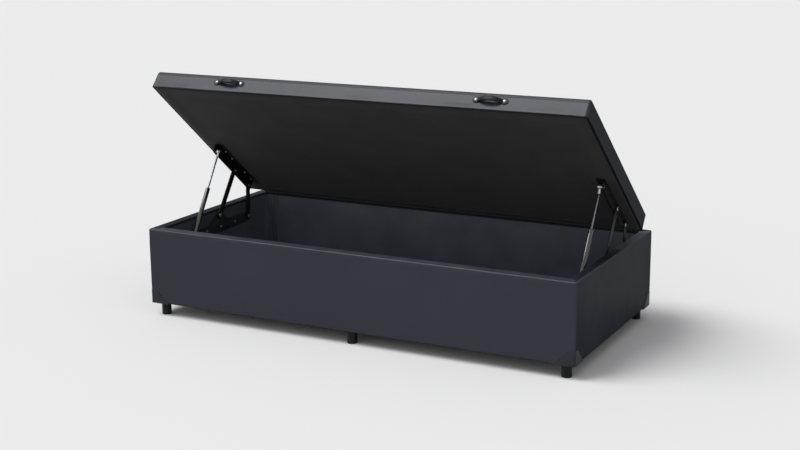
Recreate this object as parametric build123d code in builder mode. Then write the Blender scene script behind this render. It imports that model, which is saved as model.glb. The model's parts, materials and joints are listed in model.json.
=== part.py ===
from build123d import *
from math import atan2, cos, degrees, hypot, radians, sin
import os

# Upholstered storage bed whose lid opens on two four-bar hinges with gas struts.
# Millimetres. X runs along the bed, the rear is +Y, Z is up.
# The origin is on the floor, below the middle of the bed. The lid is drawn open.

# Whole bed
length = 1880.0
width = 880.0
body_height = 316.0
lid_height = 74.0
foot_height = 55.0
corner_radius = 7.0
rim_edge_radius = 4.0
lid_corner_radius = 10.0
lid_edge_radius = 9.0

# Cloth, board and timber
cover_thickness = 1.5
cloth_thickness = 1.0
board_thickness = 6.0
foam_thickness = 14.0
long_rail_thickness = 38.0
end_rail_thickness = 32.0
rail_height = 45.0
hinge_rail_height = 120.0
stud_width = 40.0
stud_pitch = 300.0
bearer_width = 70.0
bearer_height = 20.0
bearer_count = 7
lid_rail_width = 60.0
lid_end_rail_width = 90.0
lid_bar_width = 60.0
lid_bar_count = 5
rim_flap_height = 40.0
hem_width = 42.0
lining_drop = 12.0
lining_corner_radius = 34.0
lining_fold_radius = 6.0
lining_fold_shares = (1.2, 1.6, 2.05)

# How the lid travels, from shut to open
open_angle = 39.3
forward_travel = 129.6
open_rise = 27.3
shut_gap = 1.0

# Four-bar hinge
front_pivot_along = 216.0
rear_pivot_along = 80.0
pivot_drop = 20.0
front_pivot_depth = 31.0
rear_pivot_depth = 80.0
plate_thickness = 3.0
plate_band_radius = 23.0
plate_lug_radius = 19.0
plate_lug_spread = 66.0
plate_hole_spacing = 104.0
plate_hole_shares = (-1.8, -0.9, 0.13, 1.2)
arm_thickness = 4.0
arm_end_radius = 14.0
arm_rib_width = 9.0
arm_rib_depth = 1.0
bracket_thickness = 3.0
bracket_flange = 35.0
bracket_drop = 38.0
bracket_end_margin = 18.0
bracket_corner_radius = 10.0
bracket_bend_radius = 2.0
bracket_screw_shares = (0.13, 0.30, 0.65, 0.82)
pivot_radius = 5.0
pivot_head_radius = 9.0
pivot_head_height = 4.0
rivet_head_height = 2.7
washer_radius = 11.0
washer_thickness = 1.7

# Gas strut
strut_along = 398.0
strut_drop = 25.0
strut_foot_clear = 105.0
strut_foot_depth = 90.0
strut_radius = 9.5
strut_wall = 1.5
strut_tube_start = 18.0
strut_tube_end = 241.0
strut_cap = 10.0
rod_radius = 4.0
rod_end_length = 28.0
piston_length = 12.0
eye_radius = 10.0
eye_thickness = 10.0
eye_neck_radius = 4.8
strut_pin_radius = 4.0
strut_collar_radius = 7.0
strut_head_height = 4.0
strut_from_bracket = 14.0

# Screws
screw_radius = 2.5
screw_head_radius = 5.5
screw_head_height = 2.5
screw_length = 30.0

# Handles on the lid's front edge
handle_shares = (-0.306, 0.298)
handle_height = 38.0
handle_reach = 24.0
handle_pitch = 113.0
handle_band_width = 20.0
handle_band_thickness = 4.0
handle_pad_radius = 14.0
cap_radius = 8.0
cap_height = 5.0
cap_edge_chamfer = 2.0
cap_wall = 1.5

# Feet and corner guards
foot_radius = 20.0
foot_collar_radius = 22.0
foot_collar_height = 6.0
foot_edge_chamfer = 2.0
foot_stud_radius = 4.0
foot_stud_length = 24.0
foot_plate_size = 50.0
foot_plate_thickness = 2.0
foot_end_inset = 45.0
foot_side_inset = 40.0
guard_length = 86.0
guard_top_length = 30.0
guard_height = 58.0
guard_thickness = 1.5
guard_lip = 13.0
guard_corner_radius = 16.0

# Clearances
running_fit = 0.05
side_play = 0.3
overrun = 2.0

# Places that follow from the sizes
half_length = length / 2
half_width = width / 2
base_bottom = foot_height
rim_height = foot_height + body_height
timber_bottom = base_bottom + cover_thickness + cloth_thickness
timber_top = rim_height - cover_thickness
long_frame_out = half_width - cover_thickness - board_thickness
long_frame_in = long_frame_out - long_rail_thickness
end_frame_out = half_length - cover_thickness - board_thickness
end_frame_in = end_frame_out - end_rail_thickness
lining_x = end_frame_in - cover_thickness
lining_y = long_frame_in - cover_thickness
wall_face_x = lining_x - cloth_thickness
floor_bottom = timber_bottom + bearer_height
floor_top = floor_bottom + board_thickness
lid_timber_bottom = cover_thickness + cloth_thickness
lid_board_top = lid_height - cover_thickness - foam_thickness
lid_timber_top = lid_board_top - board_thickness

# The open lid's own frame: x along the bed, y towards its rear edge, z out of its top
tilt = radians(open_angle)
open_rear = (half_width - forward_travel, rim_height + open_rise)
shut_rear = (half_width, rim_height + shut_gap)
lid_plane = Plane(origin=(0, open_rear[0], open_rear[1]), x_dir=(1, 0, 0), z_dir=(0, sin(tilt), cos(tilt)))
lid_up = Axis(lid_plane.origin, lid_plane.z_dir)
lid_rearward = Axis(lid_plane.origin, lid_plane.y_dir)


def lid_point(along, drop, opened=True):
    """The (y, z) of a point on the lid: along from its rear edge, drop below its underside."""
    if not opened:
        return (shut_rear[0] - along, shut_rear[1] - drop)
    y = open_rear[0] - along * cos(tilt) - drop * sin(tilt)
    z = open_rear[1] + along * sin(tilt) - drop * cos(tilt)
    return (y, z)


def base_pivot(along, depth):
    """Where an arm turns on the base, as far from its lid pivot shut as open."""
    opened = lid_point(along, pivot_drop)
    shut = lid_point(along, pivot_drop, False)
    z = rim_height - depth
    middle = ((opened[0] + shut[0]) / 2, (opened[1] + shut[1]) / 2)
    slope = (opened[1] - shut[1]) / (opened[0] - shut[0])
    return (middle[0] - (z - middle[1]) * slope, z)


def distance(a, b):
    return hypot(b[0] - a[0], b[1] - a[1])


def angle_of(a, b):
    return degrees(atan2(b[1] - a[1], b[0] - a[0]))


front_base = base_pivot(front_pivot_along, front_pivot_depth)
front_lid = lid_point(front_pivot_along, pivot_drop)
rear_base = base_pivot(rear_pivot_along, rear_pivot_depth)
rear_lid = lid_point(rear_pivot_along, pivot_drop)
strut_foot_y = lining_corner_radius + plate_band_radius + strut_foot_clear - lining_y
strut_foot = (strut_foot_y, rim_height - strut_foot_depth)
strut_top = lid_point(strut_along, strut_drop)
strut_open_length = distance(strut_foot, strut_top)
strut_shut_length = distance(strut_foot, lid_point(strut_along, strut_drop, False))

# Layers of the hinge, counted in from the end wall
plate_in = wall_face_x - plate_thickness
arm_out = plate_in - washer_thickness - side_play
arm_in = arm_out - arm_thickness
bracket_out = arm_in - washer_thickness - side_play
bracket_in = bracket_out - bracket_thickness
strut_x = bracket_in - strut_from_bracket
eye_out = strut_x + eye_thickness / 2
eye_in = strut_x - eye_thickness / 2
bracket_far_in = bracket_out - bracket_flange
bracket_start = rear_pivot_along - bracket_end_margin
bracket_end = strut_along + bracket_end_margin
bracket_length = bracket_end - bracket_start
bracket_screw_x = (bracket_far_in + bracket_in) / 2

# Rows and places that repeat
ends = (-1, 1)
standing = (Align.CENTER, Align.CENTER, Align.MIN)
hung = (Align.CENTER, Align.CENTER, Align.MAX)
foot_x = half_length - foot_end_inset
foot_y = half_width - foot_side_inset
foot_places = {
    "front_left_foot": (-foot_x, -foot_y),
    "front_middle_foot": (0, -foot_y),
    "front_right_foot": (foot_x, -foot_y),
    "rear_left_foot": (-foot_x, foot_y),
    "rear_middle_foot": (0, foot_y),
    "rear_right_foot": (foot_x, foot_y),
}
plate_axis_z = (strut_foot[1] + rear_base[1]) / 2
plate_screws = [(front_base[0] + share * plate_hole_spacing, plate_axis_z) for share in plate_hole_shares]
bracket_screws = [bracket_start + share * bracket_length for share in bracket_screw_shares]
bracket_screw_places = [(side * bracket_screw_x, -along) for side in ends for along in bracket_screws]
handle_places = [share * length for share in handle_shares]
bearer_span = 2 * end_frame_in - bearer_width
bearer_places = [-bearer_span / 2 + bearer_span * i / (bearer_count - 1) for i in range(bearer_count)]
lid_bar_span = length - 2 * lid_end_rail_width
lid_bar_places = [lid_bar_span * ((i + 1) / (lid_bar_count + 1) - 1 / 2) for i in range(lid_bar_count)]
stud_count = int(2 * end_frame_in / stud_pitch)
stud_places = [stud_pitch * (i - (stud_count - 1) / 2) for i in range(stud_count)]


def lid_at(height):
    """The lid's own frame, raised to a height above its underside."""
    return lid_plane.offset(height)


def layer(side, near, far):
    """A plane square to X at the lower face of a layer, and the layer's thickness."""
    low = near if side > 0 else -far
    return Plane.YZ.offset(low), far - near


def punch(side, near, far, places, radius):
    """Holes along X through one layer of an end of the bed."""
    plane, depth = layer(side, near, far)
    with BuildSketch(plane) as holes:
        with Locations(*places):
            Circle(radius)
    extrude(holes.sketch, amount=depth, mode=Mode.SUBTRACT)


def disc(side, near, far, places, radius):
    """Round pieces along X in one layer of an end of the bed."""
    plane, depth = layer(side, near, far)
    with BuildSketch(plane) as rounds:
        with Locations(*places):
            Circle(radius)
    extrude(rounds.sketch, amount=depth)


def drill_up(low, high, places, radius):
    """Holes along Z between two heights."""
    with BuildSketch(Plane.XY.offset(low)) as holes:
        with Locations(*places):
            Circle(radius)
    extrude(holes.sketch, amount=high - low, mode=Mode.SUBTRACT)


def finish(piece, label):
    """Name a finished piece and write its file."""
    piece.part.label = label
    export_step(piece.part, f"parts/{label}.step")


os.makedirs("parts", exist_ok=True)


# The space inside the base's cover, which trims the boards to its rounded corners
with BuildPart() as body_space:
    with BuildSketch(Plane.XY.offset(base_bottom + cover_thickness)):
        RectangleRounded(
            length - 2 * cover_thickness, width - 2 * cover_thickness, corner_radius - cover_thickness
        )
    extrude(amount=body_height - 2 * cover_thickness)
    fillet(body_space.faces().sort_by(Axis.Z)[-1].edges(), rim_edge_radius - cover_thickness)

# Leather cloth over the outside, across the rim and a little way down inside
with BuildPart() as base_cover:
    with BuildSketch(Plane.XY.offset(base_bottom)):
        RectangleRounded(length, width, corner_radius)
    extrude(amount=body_height)
    fillet(base_cover.faces().sort_by(Axis.Z)[-1].edges(), rim_edge_radius)
    add(body_space.part, mode=Mode.SUBTRACT)
    with BuildSketch(Plane.XY.offset(rim_height - rim_flap_height)):
        Rectangle(2 * end_frame_in, 2 * long_frame_in)
    extrude(amount=rim_flap_height)
    with BuildSketch(Plane.XY.offset(rim_height - rim_flap_height)):
        Rectangle(2 * lining_x, 2 * lining_y)
    extrude(amount=rim_flap_height + overrun, mode=Mode.SUBTRACT)
    with BuildSketch(Plane.XY.offset(base_bottom)):
        Rectangle(length - 2 * hem_width, width - 2 * hem_width)
    extrude(amount=cover_thickness, mode=Mode.SUBTRACT)
    drill_up(base_bottom, timber_bottom, foot_places.values(), foot_stud_radius + running_fit)
finish(base_cover, "base_cover")


def upright_board(centre, size):
    """A thin board of the base's walls, trimmed to the cover."""
    with BuildPart() as board:
        with Locations((centre[0], centre[1], timber_bottom)):
            Box(size[0], size[1], timber_top - timber_bottom, align=standing)
        add(body_space.part, mode=Mode.INTERSECT)
    return board


long_board_y = long_frame_out + board_thickness / 2
end_board_x = end_frame_out + board_thickness / 2
for label, side in (("front_board", -1), ("rear_board", 1)):
    board = upright_board((0, side * long_board_y), (length - 2 * cover_thickness, board_thickness))
    finish(board, label)
for label, side in (("left_board", -1), ("right_board", 1)):
    board = upright_board((side * end_board_x, 0), (board_thickness, 2 * long_frame_out))
    finish(board, label)


# Top rails: light ones at front and rear, deep ones at the ends to carry the hinges
for label, side in (("front_top_rail", -1), ("rear_top_rail", 1)):
    with BuildPart() as rail:
        with Locations((0, side * (long_frame_in + long_frame_out) / 2, timber_top)):
            Box(2 * end_frame_in, long_rail_thickness, rail_height, align=hung)
    finish(rail, label)

for label, side in (("left_top_rail", -1), ("right_top_rail", 1)):
    with BuildPart() as rail:
        with Locations((side * (end_frame_in + end_frame_out) / 2, 0, timber_top)):
            Box(end_rail_thickness, 2 * long_frame_in, hinge_rail_height, align=hung)
        punch(side, wall_face_x, plate_in + screw_length, plate_screws, screw_radius + running_fit)
    finish(rail, label)

# Bottom rails between the corner posts
with BuildPart() as bottom_rails:
    for side in ends:
        with Locations((0, side * (long_frame_in + long_frame_out) / 2, timber_bottom)):
            Box(2 * end_frame_in, long_rail_thickness, rail_height, align=standing)
        with Locations((side * (end_frame_in + end_frame_out) / 2, 0, timber_bottom)):
            Box(end_rail_thickness, 2 * long_frame_in, rail_height, align=standing)
    stud_hole_top = base_bottom - foot_plate_thickness + foot_stud_length
    drill_up(timber_bottom, stud_hole_top, foot_places.values(), foot_stud_radius + running_fit)
finish(bottom_rails, "bottom_rails")

# Corner posts, and the studs between the rails
with BuildPart() as wall_posts:
    post_x = (end_frame_in + end_frame_out) / 2
    post_y = (long_frame_in + long_frame_out) / 2
    with Locations(*[(sx * post_x, sy * post_y, timber_bottom) for sx in ends for sy in ends]):
        Box(end_rail_thickness, long_rail_thickness, timber_top - timber_bottom, align=standing)
    stud_bottom = timber_bottom + rail_height
    with Locations(*[(x, side * post_y, stud_bottom) for x in stud_places for side in ends]):
        Box(stud_width, long_rail_thickness, timber_top - rail_height - stud_bottom, align=standing)
    with Locations(*[(side * post_x, 0, stud_bottom) for side in ends]):
        Box(end_rail_thickness, stud_width, timber_top - hinge_rail_height - stud_bottom, align=standing)
finish(wall_posts, "wall_posts")

# Floor of the storage box on its bearers
with BuildPart() as floor_bearers:
    with Locations(*[(x, 0, timber_bottom) for x in bearer_places]):
        Box(bearer_width, 2 * long_frame_in, bearer_height, align=standing)
finish(floor_bearers, "floor_bearers")

with BuildPart() as floor_panel:
    with Locations((0, 0, floor_bottom)):
        Box(2 * end_frame_in, 2 * long_frame_in, board_thickness, align=standing)
finish(floor_panel, "floor_panel")

# Cloth lining of the box, round across each corner, with upright folds beside it
fold_x = [lining_x - share * lining_corner_radius for share in lining_fold_shares]
fold_places = [(sx * x, sy * lining_y) for x in fold_x for sx in ends for sy in ends]
with BuildPart() as base_lining:
    with BuildSketch(Plane.XY.offset(floor_top)):
        RectangleRounded(2 * lining_x, 2 * lining_y, lining_corner_radius)
    extrude(amount=cloth_thickness)
    with BuildSketch(Plane.XY.offset(floor_top)):
        RectangleRounded(2 * lining_x, 2 * lining_y, lining_corner_radius)
        RectangleRounded(
            2 * wall_face_x,
            2 * (lining_y - cloth_thickness),
            lining_corner_radius - cloth_thickness,
            mode=Mode.SUBTRACT,
        )
        with Locations(*fold_places):
            Circle(lining_fold_radius)
            Circle(lining_fold_radius - cloth_thickness, mode=Mode.SUBTRACT)
        RectangleRounded(2 * lining_x, 2 * lining_y, lining_corner_radius, mode=Mode.INTERSECT)
    extrude(amount=rim_height - lining_drop - floor_top)
    for side in ends:
        punch(side, wall_face_x, lining_x, plate_screws, screw_radius + running_fit)
finish(base_lining, "base_lining")

# Cloth that closes the underside
with BuildPart() as dust_cloth:
    with BuildSketch(Plane.XY.offset(base_bottom + cover_thickness)):
        RectangleRounded(
            length - 2 * cover_thickness, width - 2 * cover_thickness, corner_radius - cover_thickness
        )
    extrude(amount=cloth_thickness)
    drill_up(base_bottom, timber_bottom, foot_places.values(), foot_stud_radius + running_fit)
finish(dust_cloth, "dust_cloth")


# Feet: turned plastic posts, each on a threaded stud through its plate
foot_top = base_bottom - foot_plate_thickness
for label, place in foot_places.items():
    with BuildPart() as foot:
        with BuildSketch(Plane.XZ.offset(-place[1])):
            with BuildLine():
                Polyline(
                    (place[0], 0),
                    (place[0] + foot_radius, 0),
                    (place[0] + foot_radius, foot_top - foot_collar_height),
                    (place[0] + foot_collar_radius, foot_top - foot_collar_height),
                    (place[0] + foot_collar_radius, foot_top),
                    (place[0] + foot_stud_radius, foot_top),
                    (place[0] + foot_stud_radius, foot_top + foot_stud_length),
                    (place[0], foot_top + foot_stud_length),
                    close=True,
                )
            make_face()
        revolve(axis=Axis((place[0], place[1], 0), (0, 0, 1)))
        chamfer(foot.faces().sort_by(Axis.Z)[0].edges(), foot_edge_chamfer)
    finish(foot, label)

with BuildPart() as foot_plates:
    with BuildSketch(Plane.XY.offset(foot_top)):
        with Locations(*foot_places.values()):
            Rectangle(foot_plate_size, foot_plate_size)
            Circle(foot_stud_radius + running_fit, mode=Mode.SUBTRACT)
    extrude(amount=foot_plate_thickness)
finish(foot_plates, "foot_plates")


# Moulded guards round the four bottom corners
def guard_gap(outer):
    """The outline between the sloping edges of two guards on one wall."""
    low = base_bottom - guard_thickness
    high = low + guard_height
    foot, top = outer - guard_length, outer - guard_top_length
    edge = [(foot, low - overrun), (foot, low), (top, high), (top, high + overrun)]
    return edge + [(-across, up) for across, up in reversed(edge)]


guard_outer_x = half_length + guard_thickness
guard_outer_y = half_width + guard_thickness
with BuildPart() as corner_guards:
    with BuildSketch(Plane.XY.offset(base_bottom - guard_thickness)):
        RectangleRounded(2 * guard_outer_x, 2 * guard_outer_y, corner_radius + guard_thickness)
        Rectangle(2 * (half_length - guard_lip), 2 * (half_width - guard_lip), mode=Mode.SUBTRACT)
    extrude(amount=guard_height)
    with BuildSketch(Plane.XY.offset(base_bottom)):
        RectangleRounded(length, width, corner_radius)
    extrude(amount=guard_height, mode=Mode.SUBTRACT)
    for plane, outer, through in (
        (Plane.XZ.offset(-guard_outer_y - overrun), guard_outer_x, guard_outer_y),
        (Plane.YZ.offset(-guard_outer_x - overrun), guard_outer_y, guard_outer_x),
    ):
        with BuildSketch(plane):
            Polygon(*guard_gap(outer), align=None)
        extrude(amount=2 * (through + overrun), mode=Mode.SUBTRACT)
    short_edges = corner_guards.edges().filter_by(lambda edge: edge.length < 2 * guard_thickness)
    fillet(short_edges.group_by(Axis.Z)[-1], guard_corner_radius)
finish(corner_guards, "corner_guards")


# Pressed steel plate on each end wall, with its raised lug for the front arm
def hinge_plate(side):
    plane, thickness = layer(side, plate_in, wall_face_x)
    lug_feet = [(front_base[0] + step * plate_lug_spread, plate_axis_z) for step in ends]
    with BuildPart() as plate:
        with BuildSketch(plane):
            with Locations(strut_foot, rear_base):
                Circle(plate_band_radius)
            make_hull()
        extrude(amount=thickness)
        with BuildSketch(plane):
            with Locations(front_base):
                Circle(plate_lug_radius)
            with Locations(*lug_feet):
                Circle(plate_band_radius)
            make_hull()
        extrude(amount=thickness)
        punch(side, plate_in, wall_face_x, (front_base, rear_base), pivot_radius + running_fit)
        punch(side, plate_in, wall_face_x, (strut_foot,), strut_pin_radius + running_fit)
        punch(side, plate_in, wall_face_x, plate_screws, screw_radius + running_fit)
    return plate


finish(hinge_plate(-1), "left_hinge_plate")
finish(hinge_plate(1), "right_hinge_plate")

with BuildPart() as hinge_plate_screws:
    for side in ends:
        disc(side, plate_in, plate_in + screw_length, plate_screws, screw_radius)
        disc(side, plate_in - screw_head_height, plate_in, plate_screws, screw_head_radius)
finish(hinge_plate_screws, "hinge_plate_screws")

# Shouldered pivots of the two arms on each plate, with their washers
with BuildPart() as base_pivots:
    for side in ends:
        disc(side, arm_in - side_play, wall_face_x, (front_base, rear_base), pivot_radius)
        disc(
            side,
            arm_in - side_play - pivot_head_height,
            arm_in - side_play,
            (front_base, rear_base),
            pivot_head_radius,
        )
finish(base_pivots, "base_pivots")

with BuildPart() as base_washers:
    for side in ends:
        disc(side, arm_out + side_play, plate_in, (front_base, rear_base), washer_radius)
        punch(side, arm_out + side_play, plate_in, (front_base, rear_base), pivot_radius + running_fit)
finish(base_washers, "base_washers")

# Studs that carry the gas struts' lower ends
with BuildPart() as strut_foot_studs:
    for side in ends:
        disc(side, eye_out + side_play, plate_in, (strut_foot,), strut_collar_radius)
        disc(side, plate_in, wall_face_x, (strut_foot,), strut_pin_radius)
        disc(side, eye_in - side_play, eye_out + side_play, (strut_foot,), strut_pin_radius)
        disc(
            side,
            eye_in - side_play - strut_head_height,
            eye_in - side_play,
            (strut_foot,),
            strut_collar_radius,
        )
finish(strut_foot_studs, "strut_foot_studs")


# Pressed arms, each with a stiffening groove between its two pivots
def hinge_arm(side, base_place, lid_place):
    plane, thickness = layer(side, arm_in, arm_out)
    middle = ((base_place[0] + lid_place[0]) / 2, (base_place[1] + lid_place[1]) / 2)
    span = distance(base_place, lid_place)
    rib_span = span - 4 * arm_end_radius
    groove_plane, groove_depth = layer(side, arm_in, arm_in + arm_rib_depth)
    with BuildPart() as arm:
        with BuildSketch(plane):
            with Locations(base_place, lid_place):
                Circle(arm_end_radius)
            make_hull()
            with Locations(base_place, lid_place):
                Circle(pivot_radius + running_fit, mode=Mode.SUBTRACT)
        extrude(amount=thickness)
        with BuildSketch(groove_plane):
            with Locations(Location((middle[0], middle[1], 0), (0, 0, angle_of(base_place, lid_place)))):
                SlotCenterToCenter(rib_span, arm_rib_width)
        extrude(amount=groove_depth, mode=Mode.SUBTRACT)
    return arm


finish(hinge_arm(-1, front_base, front_lid), "left_front_arm")
finish(hinge_arm(1, front_base, front_lid), "right_front_arm")
finish(hinge_arm(-1, rear_base, rear_lid), "left_rear_arm")
finish(hinge_arm(1, rear_base, rear_lid), "right_rear_arm")

# Rivets in the rear arms' upper ends, up to the brackets
with BuildPart() as rear_arm_rivets:
    for side in ends:
        disc(side, bracket_out + side_play, arm_in, (rear_lid,), washer_radius)
        disc(side, arm_in, arm_out, (rear_lid,), pivot_radius)
        disc(side, arm_out, arm_out + rivet_head_height, (rear_lid,), pivot_head_radius)
finish(rear_arm_rivets, "rear_arm_rivets")


# The space inside the lid's cover, which trims what it holds
with BuildPart() as lid_space:
    with BuildSketch(lid_at(cover_thickness)):
        with Locations((0, -half_width)):
            RectangleRounded(
                length - 2 * cover_thickness, width - 2 * cover_thickness, lid_corner_radius - cover_thickness
            )
    extrude(amount=lid_height - 2 * cover_thickness)
    fillet(lid_space.faces().sort_by(lid_up)[-1].edges(), lid_edge_radius - cover_thickness)

# Leather cloth over the lid, with its hem turned under
handle_ends = [(x + side * handle_pitch / 2, handle_height) for x in handle_places for side in ends]
front_edge_plane = Plane(
    origin=lid_plane.origin - width * lid_plane.y_dir, x_dir=lid_plane.x_dir, z_dir=-lid_plane.y_dir
)


def drill_front(depth):
    """Holes for the handles' screws, back from the lid's front edge."""
    with BuildSketch(front_edge_plane) as holes:
        with Locations(*handle_ends):
            Circle(screw_radius + running_fit)
    extrude(holes.sketch, amount=-depth, mode=Mode.SUBTRACT)


def drill_bracket(low, high):
    """Holes for the brackets' screws, square to the lid."""
    with BuildSketch(lid_at(low)) as holes:
        with Locations(*bracket_screw_places):
            Circle(screw_radius + running_fit)
    extrude(holes.sketch, amount=high - low, mode=Mode.SUBTRACT)


with BuildPart() as lid_cover:
    with BuildSketch(lid_at(0)):
        with Locations((0, -half_width)):
            RectangleRounded(length, width, lid_corner_radius)
    extrude(amount=lid_height)
    fillet(lid_cover.faces().sort_by(lid_up)[-1].edges(), lid_edge_radius)
    add(lid_space.part, mode=Mode.SUBTRACT)
    with BuildSketch(lid_at(0)):
        with Locations((0, -half_width)):
            Rectangle(length - 2 * hem_width, width - 2 * hem_width)
    extrude(amount=cover_thickness, mode=Mode.SUBTRACT)
    drill_front(cover_thickness)
finish(lid_cover, "lid_cover")

with BuildPart() as lid_underside_cloth:
    with BuildSketch(lid_at(cover_thickness)):
        with Locations((0, -half_width)):
            RectangleRounded(
                length - 2 * cover_thickness, width - 2 * cover_thickness, lid_corner_radius - cover_thickness
            )
    extrude(amount=cloth_thickness)
    drill_bracket(cover_thickness, lid_timber_bottom)
finish(lid_underside_cloth, "lid_underside_cloth")


def lid_timber(centre, size, low, high):
    """A flat piece of the lid between two heights, trimmed to the cover."""
    with BuildPart() as timber:
        with BuildSketch(lid_at(low)):
            with Locations(centre):
                Rectangle(size[0], size[1])
        extrude(amount=high - low)
        add(lid_space.part, mode=Mode.INTERSECT)
        if low < lid_timber_top:
            drill_front(screw_length)
            drill_bracket(cover_thickness, screw_length)
    return timber


inner_length = length - 2 * cover_thickness
inner_width = width - 2 * cover_thickness
rail_inset = cover_thickness + lid_rail_width / 2
for label, y in (("lid_front_rail", rail_inset - width), ("lid_rear_rail", -rail_inset)):
    finish(lid_timber((0, y), (inner_length, lid_rail_width), lid_timber_bottom, lid_timber_top), label)

end_rail_x = half_length - cover_thickness - lid_end_rail_width / 2
end_rail_length = inner_width - 2 * lid_rail_width
for label, side in (("lid_left_rail", -1), ("lid_right_rail", 1)):
    rail = lid_timber(
        (side * end_rail_x, -half_width),
        (lid_end_rail_width, end_rail_length),
        lid_timber_bottom,
        lid_timber_top,
    )
    finish(rail, label)

with BuildPart() as lid_crossbars:
    with BuildSketch(lid_at(lid_timber_bottom)):
        with Locations(*[(x, -half_width) for x in lid_bar_places]):
            Rectangle(lid_bar_width, end_rail_length)
    extrude(amount=lid_timber_top - lid_timber_bottom)
finish(lid_crossbars, "lid_crossbars")

finish(lid_timber((0, -half_width), (inner_length, inner_width), lid_timber_top, lid_board_top), "lid_board")
lid_foam_top = lid_height - cover_thickness
finish(lid_timber((0, -half_width), (inner_length, inner_width), lid_board_top, lid_foam_top), "lid_foam")


# Angle brackets under the lid's ends, bent from steel strip
def lid_bracket(side):
    start_y, start_z = lid_point(bracket_start, 0)
    section = Plane(origin=(0, start_y, start_z), x_dir=(1, 0, 0), z_dir=-lid_plane.y_dir)
    seat = cover_thickness
    foot = seat - bracket_thickness
    with BuildPart() as bracket:
        with BuildSketch(section):
            with BuildLine():
                Polyline(
                    (side * bracket_far_in, seat),
                    (side * bracket_out, seat),
                    (side * bracket_out, -bracket_drop),
                    (side * bracket_in, -bracket_drop),
                    (side * bracket_in, foot),
                    (side * bracket_far_in, foot),
                    close=True,
                )
            make_face()
        extrude(amount=bracket_length)
        free_corners = bracket.edges().filter_by(Axis.X).group_by(lid_up)[0]
        fillet(free_corners, bracket_corner_radius)
        outer_bend = bracket.edges().filter_by(lid_rearward).group_by(Axis.X)[-1 if side > 0 else 0]
        fillet(outer_bend.group_by(lid_up)[-1], bracket_bend_radius)
        punch(side, bracket_in, bracket_out, (front_lid, rear_lid), pivot_radius + running_fit)
        punch(side, bracket_in, bracket_out, (strut_top,), strut_pin_radius + running_fit)
        drill_bracket(foot, seat)
    return bracket


finish(lid_bracket(-1), "left_lid_bracket")
finish(lid_bracket(1), "right_lid_bracket")

with BuildPart() as lid_bracket_screws:
    screw_seat = cover_thickness - bracket_thickness
    with BuildSketch(lid_at(screw_seat)):
        with Locations(*bracket_screw_places):
            Circle(screw_radius)
    extrude(amount=screw_length - screw_seat)
    with BuildSketch(lid_at(screw_seat - screw_head_height)):
        with Locations(*bracket_screw_places):
            Circle(screw_head_radius)
    extrude(amount=screw_head_height)
finish(lid_bracket_screws, "lid_bracket_screws")

# Shouldered pivots of the front arms on the brackets, with their washers
with BuildPart() as lid_pivots:
    for side in ends:
        disc(side, bracket_in - pivot_head_height, bracket_in, (front_lid,), pivot_head_radius)
        disc(side, bracket_in, arm_out + side_play, (front_lid,), pivot_radius)
        disc(
            side,
            arm_out + side_play,
            arm_out + side_play + rivet_head_height,
            (front_lid,),
            pivot_head_radius,
        )
finish(lid_pivots, "lid_pivots")

with BuildPart() as lid_washers:
    for side in ends:
        disc(side, bracket_out, arm_in - side_play, (front_lid,), washer_radius)
        punch(side, bracket_out, arm_in - side_play, (front_lid,), pivot_radius + running_fit)
finish(lid_washers, "lid_washers")

# What the brackets carry where the rear arms and the gas struts meet them
with BuildPart() as bracket_studs:
    for side in ends:
        disc(side, bracket_in - pivot_head_height, bracket_in, (rear_lid,), pivot_head_radius)
        disc(side, bracket_in, bracket_out, (rear_lid,), pivot_radius)
        disc(side, eye_out + side_play, bracket_in, (strut_top,), strut_collar_radius)
        disc(side, bracket_in, bracket_out, (strut_top,), strut_pin_radius)
finish(bracket_studs, "bracket_studs")


# Gas struts: a tube with its closed foot, and a rod with its piston
def strut_axis_plane(side):
    run = (strut_top[0] - strut_foot[0], strut_top[1] - strut_foot[1])
    return Plane(
        origin=(side * strut_x, strut_foot[0], strut_foot[1]), x_dir=(1, 0, 0), z_dir=(0, run[0], run[1])
    )


def round_bar(side, low, high, radius, mode=Mode.ADD):
    """A round length of a strut between two distances from its lower pivot."""
    with BuildSketch(strut_axis_plane(side).offset(low)) as section:
        Circle(radius)
    extrude(section.sketch, amount=high - low, mode=mode)


rod_end_start = strut_open_length - rod_end_length
piston_top = strut_tube_end - strut_cap - side_play
for label, side in (("left_strut_tube", -1), ("right_strut_tube", 1)):
    with BuildPart() as tube:
        round_bar(side, strut_tube_start, strut_tube_end, strut_radius)
        chamfer(tube.edges().filter_by(GeomType.CIRCLE), strut_wall)
        bore = strut_radius - strut_wall
        round_bar(side, strut_tube_start + strut_cap, strut_tube_end - strut_cap, bore, Mode.SUBTRACT)
        round_bar(side, strut_tube_end - strut_cap, strut_tube_end, rod_radius + running_fit, Mode.SUBTRACT)
    finish(tube, label)

for label, side in (("left_strut_rod", -1), ("right_strut_rod", 1)):
    with BuildPart() as rod:
        round_bar(side, piston_top - piston_length, rod_end_start, rod_radius)
        piston_radius = strut_radius - strut_wall - running_fit
        round_bar(side, piston_top - piston_length, piston_top, piston_radius)
    finish(rod, label)

# Eyes screwed to the ends of the struts
with BuildPart() as strut_foot_eyes:
    for side in ends:
        disc(side, eye_in, eye_out, (strut_foot,), eye_radius)
        round_bar(side, eye_radius / 2, strut_tube_start, eye_neck_radius)
        punch(side, eye_in - overrun, eye_out + overrun, (strut_foot,), strut_pin_radius + running_fit)
finish(strut_foot_eyes, "strut_foot_eyes")

with BuildPart() as strut_top_eyes:
    for side in ends:
        disc(side, eye_in, eye_out, (strut_top,), eye_radius)
        round_bar(side, rod_end_start, strut_open_length - eye_radius / 2, eye_neck_radius)
        punch(side, eye_in - overrun, eye_out + overrun, (strut_top,), strut_pin_radius + running_fit)
finish(strut_top_eyes, "strut_top_eyes")

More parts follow.
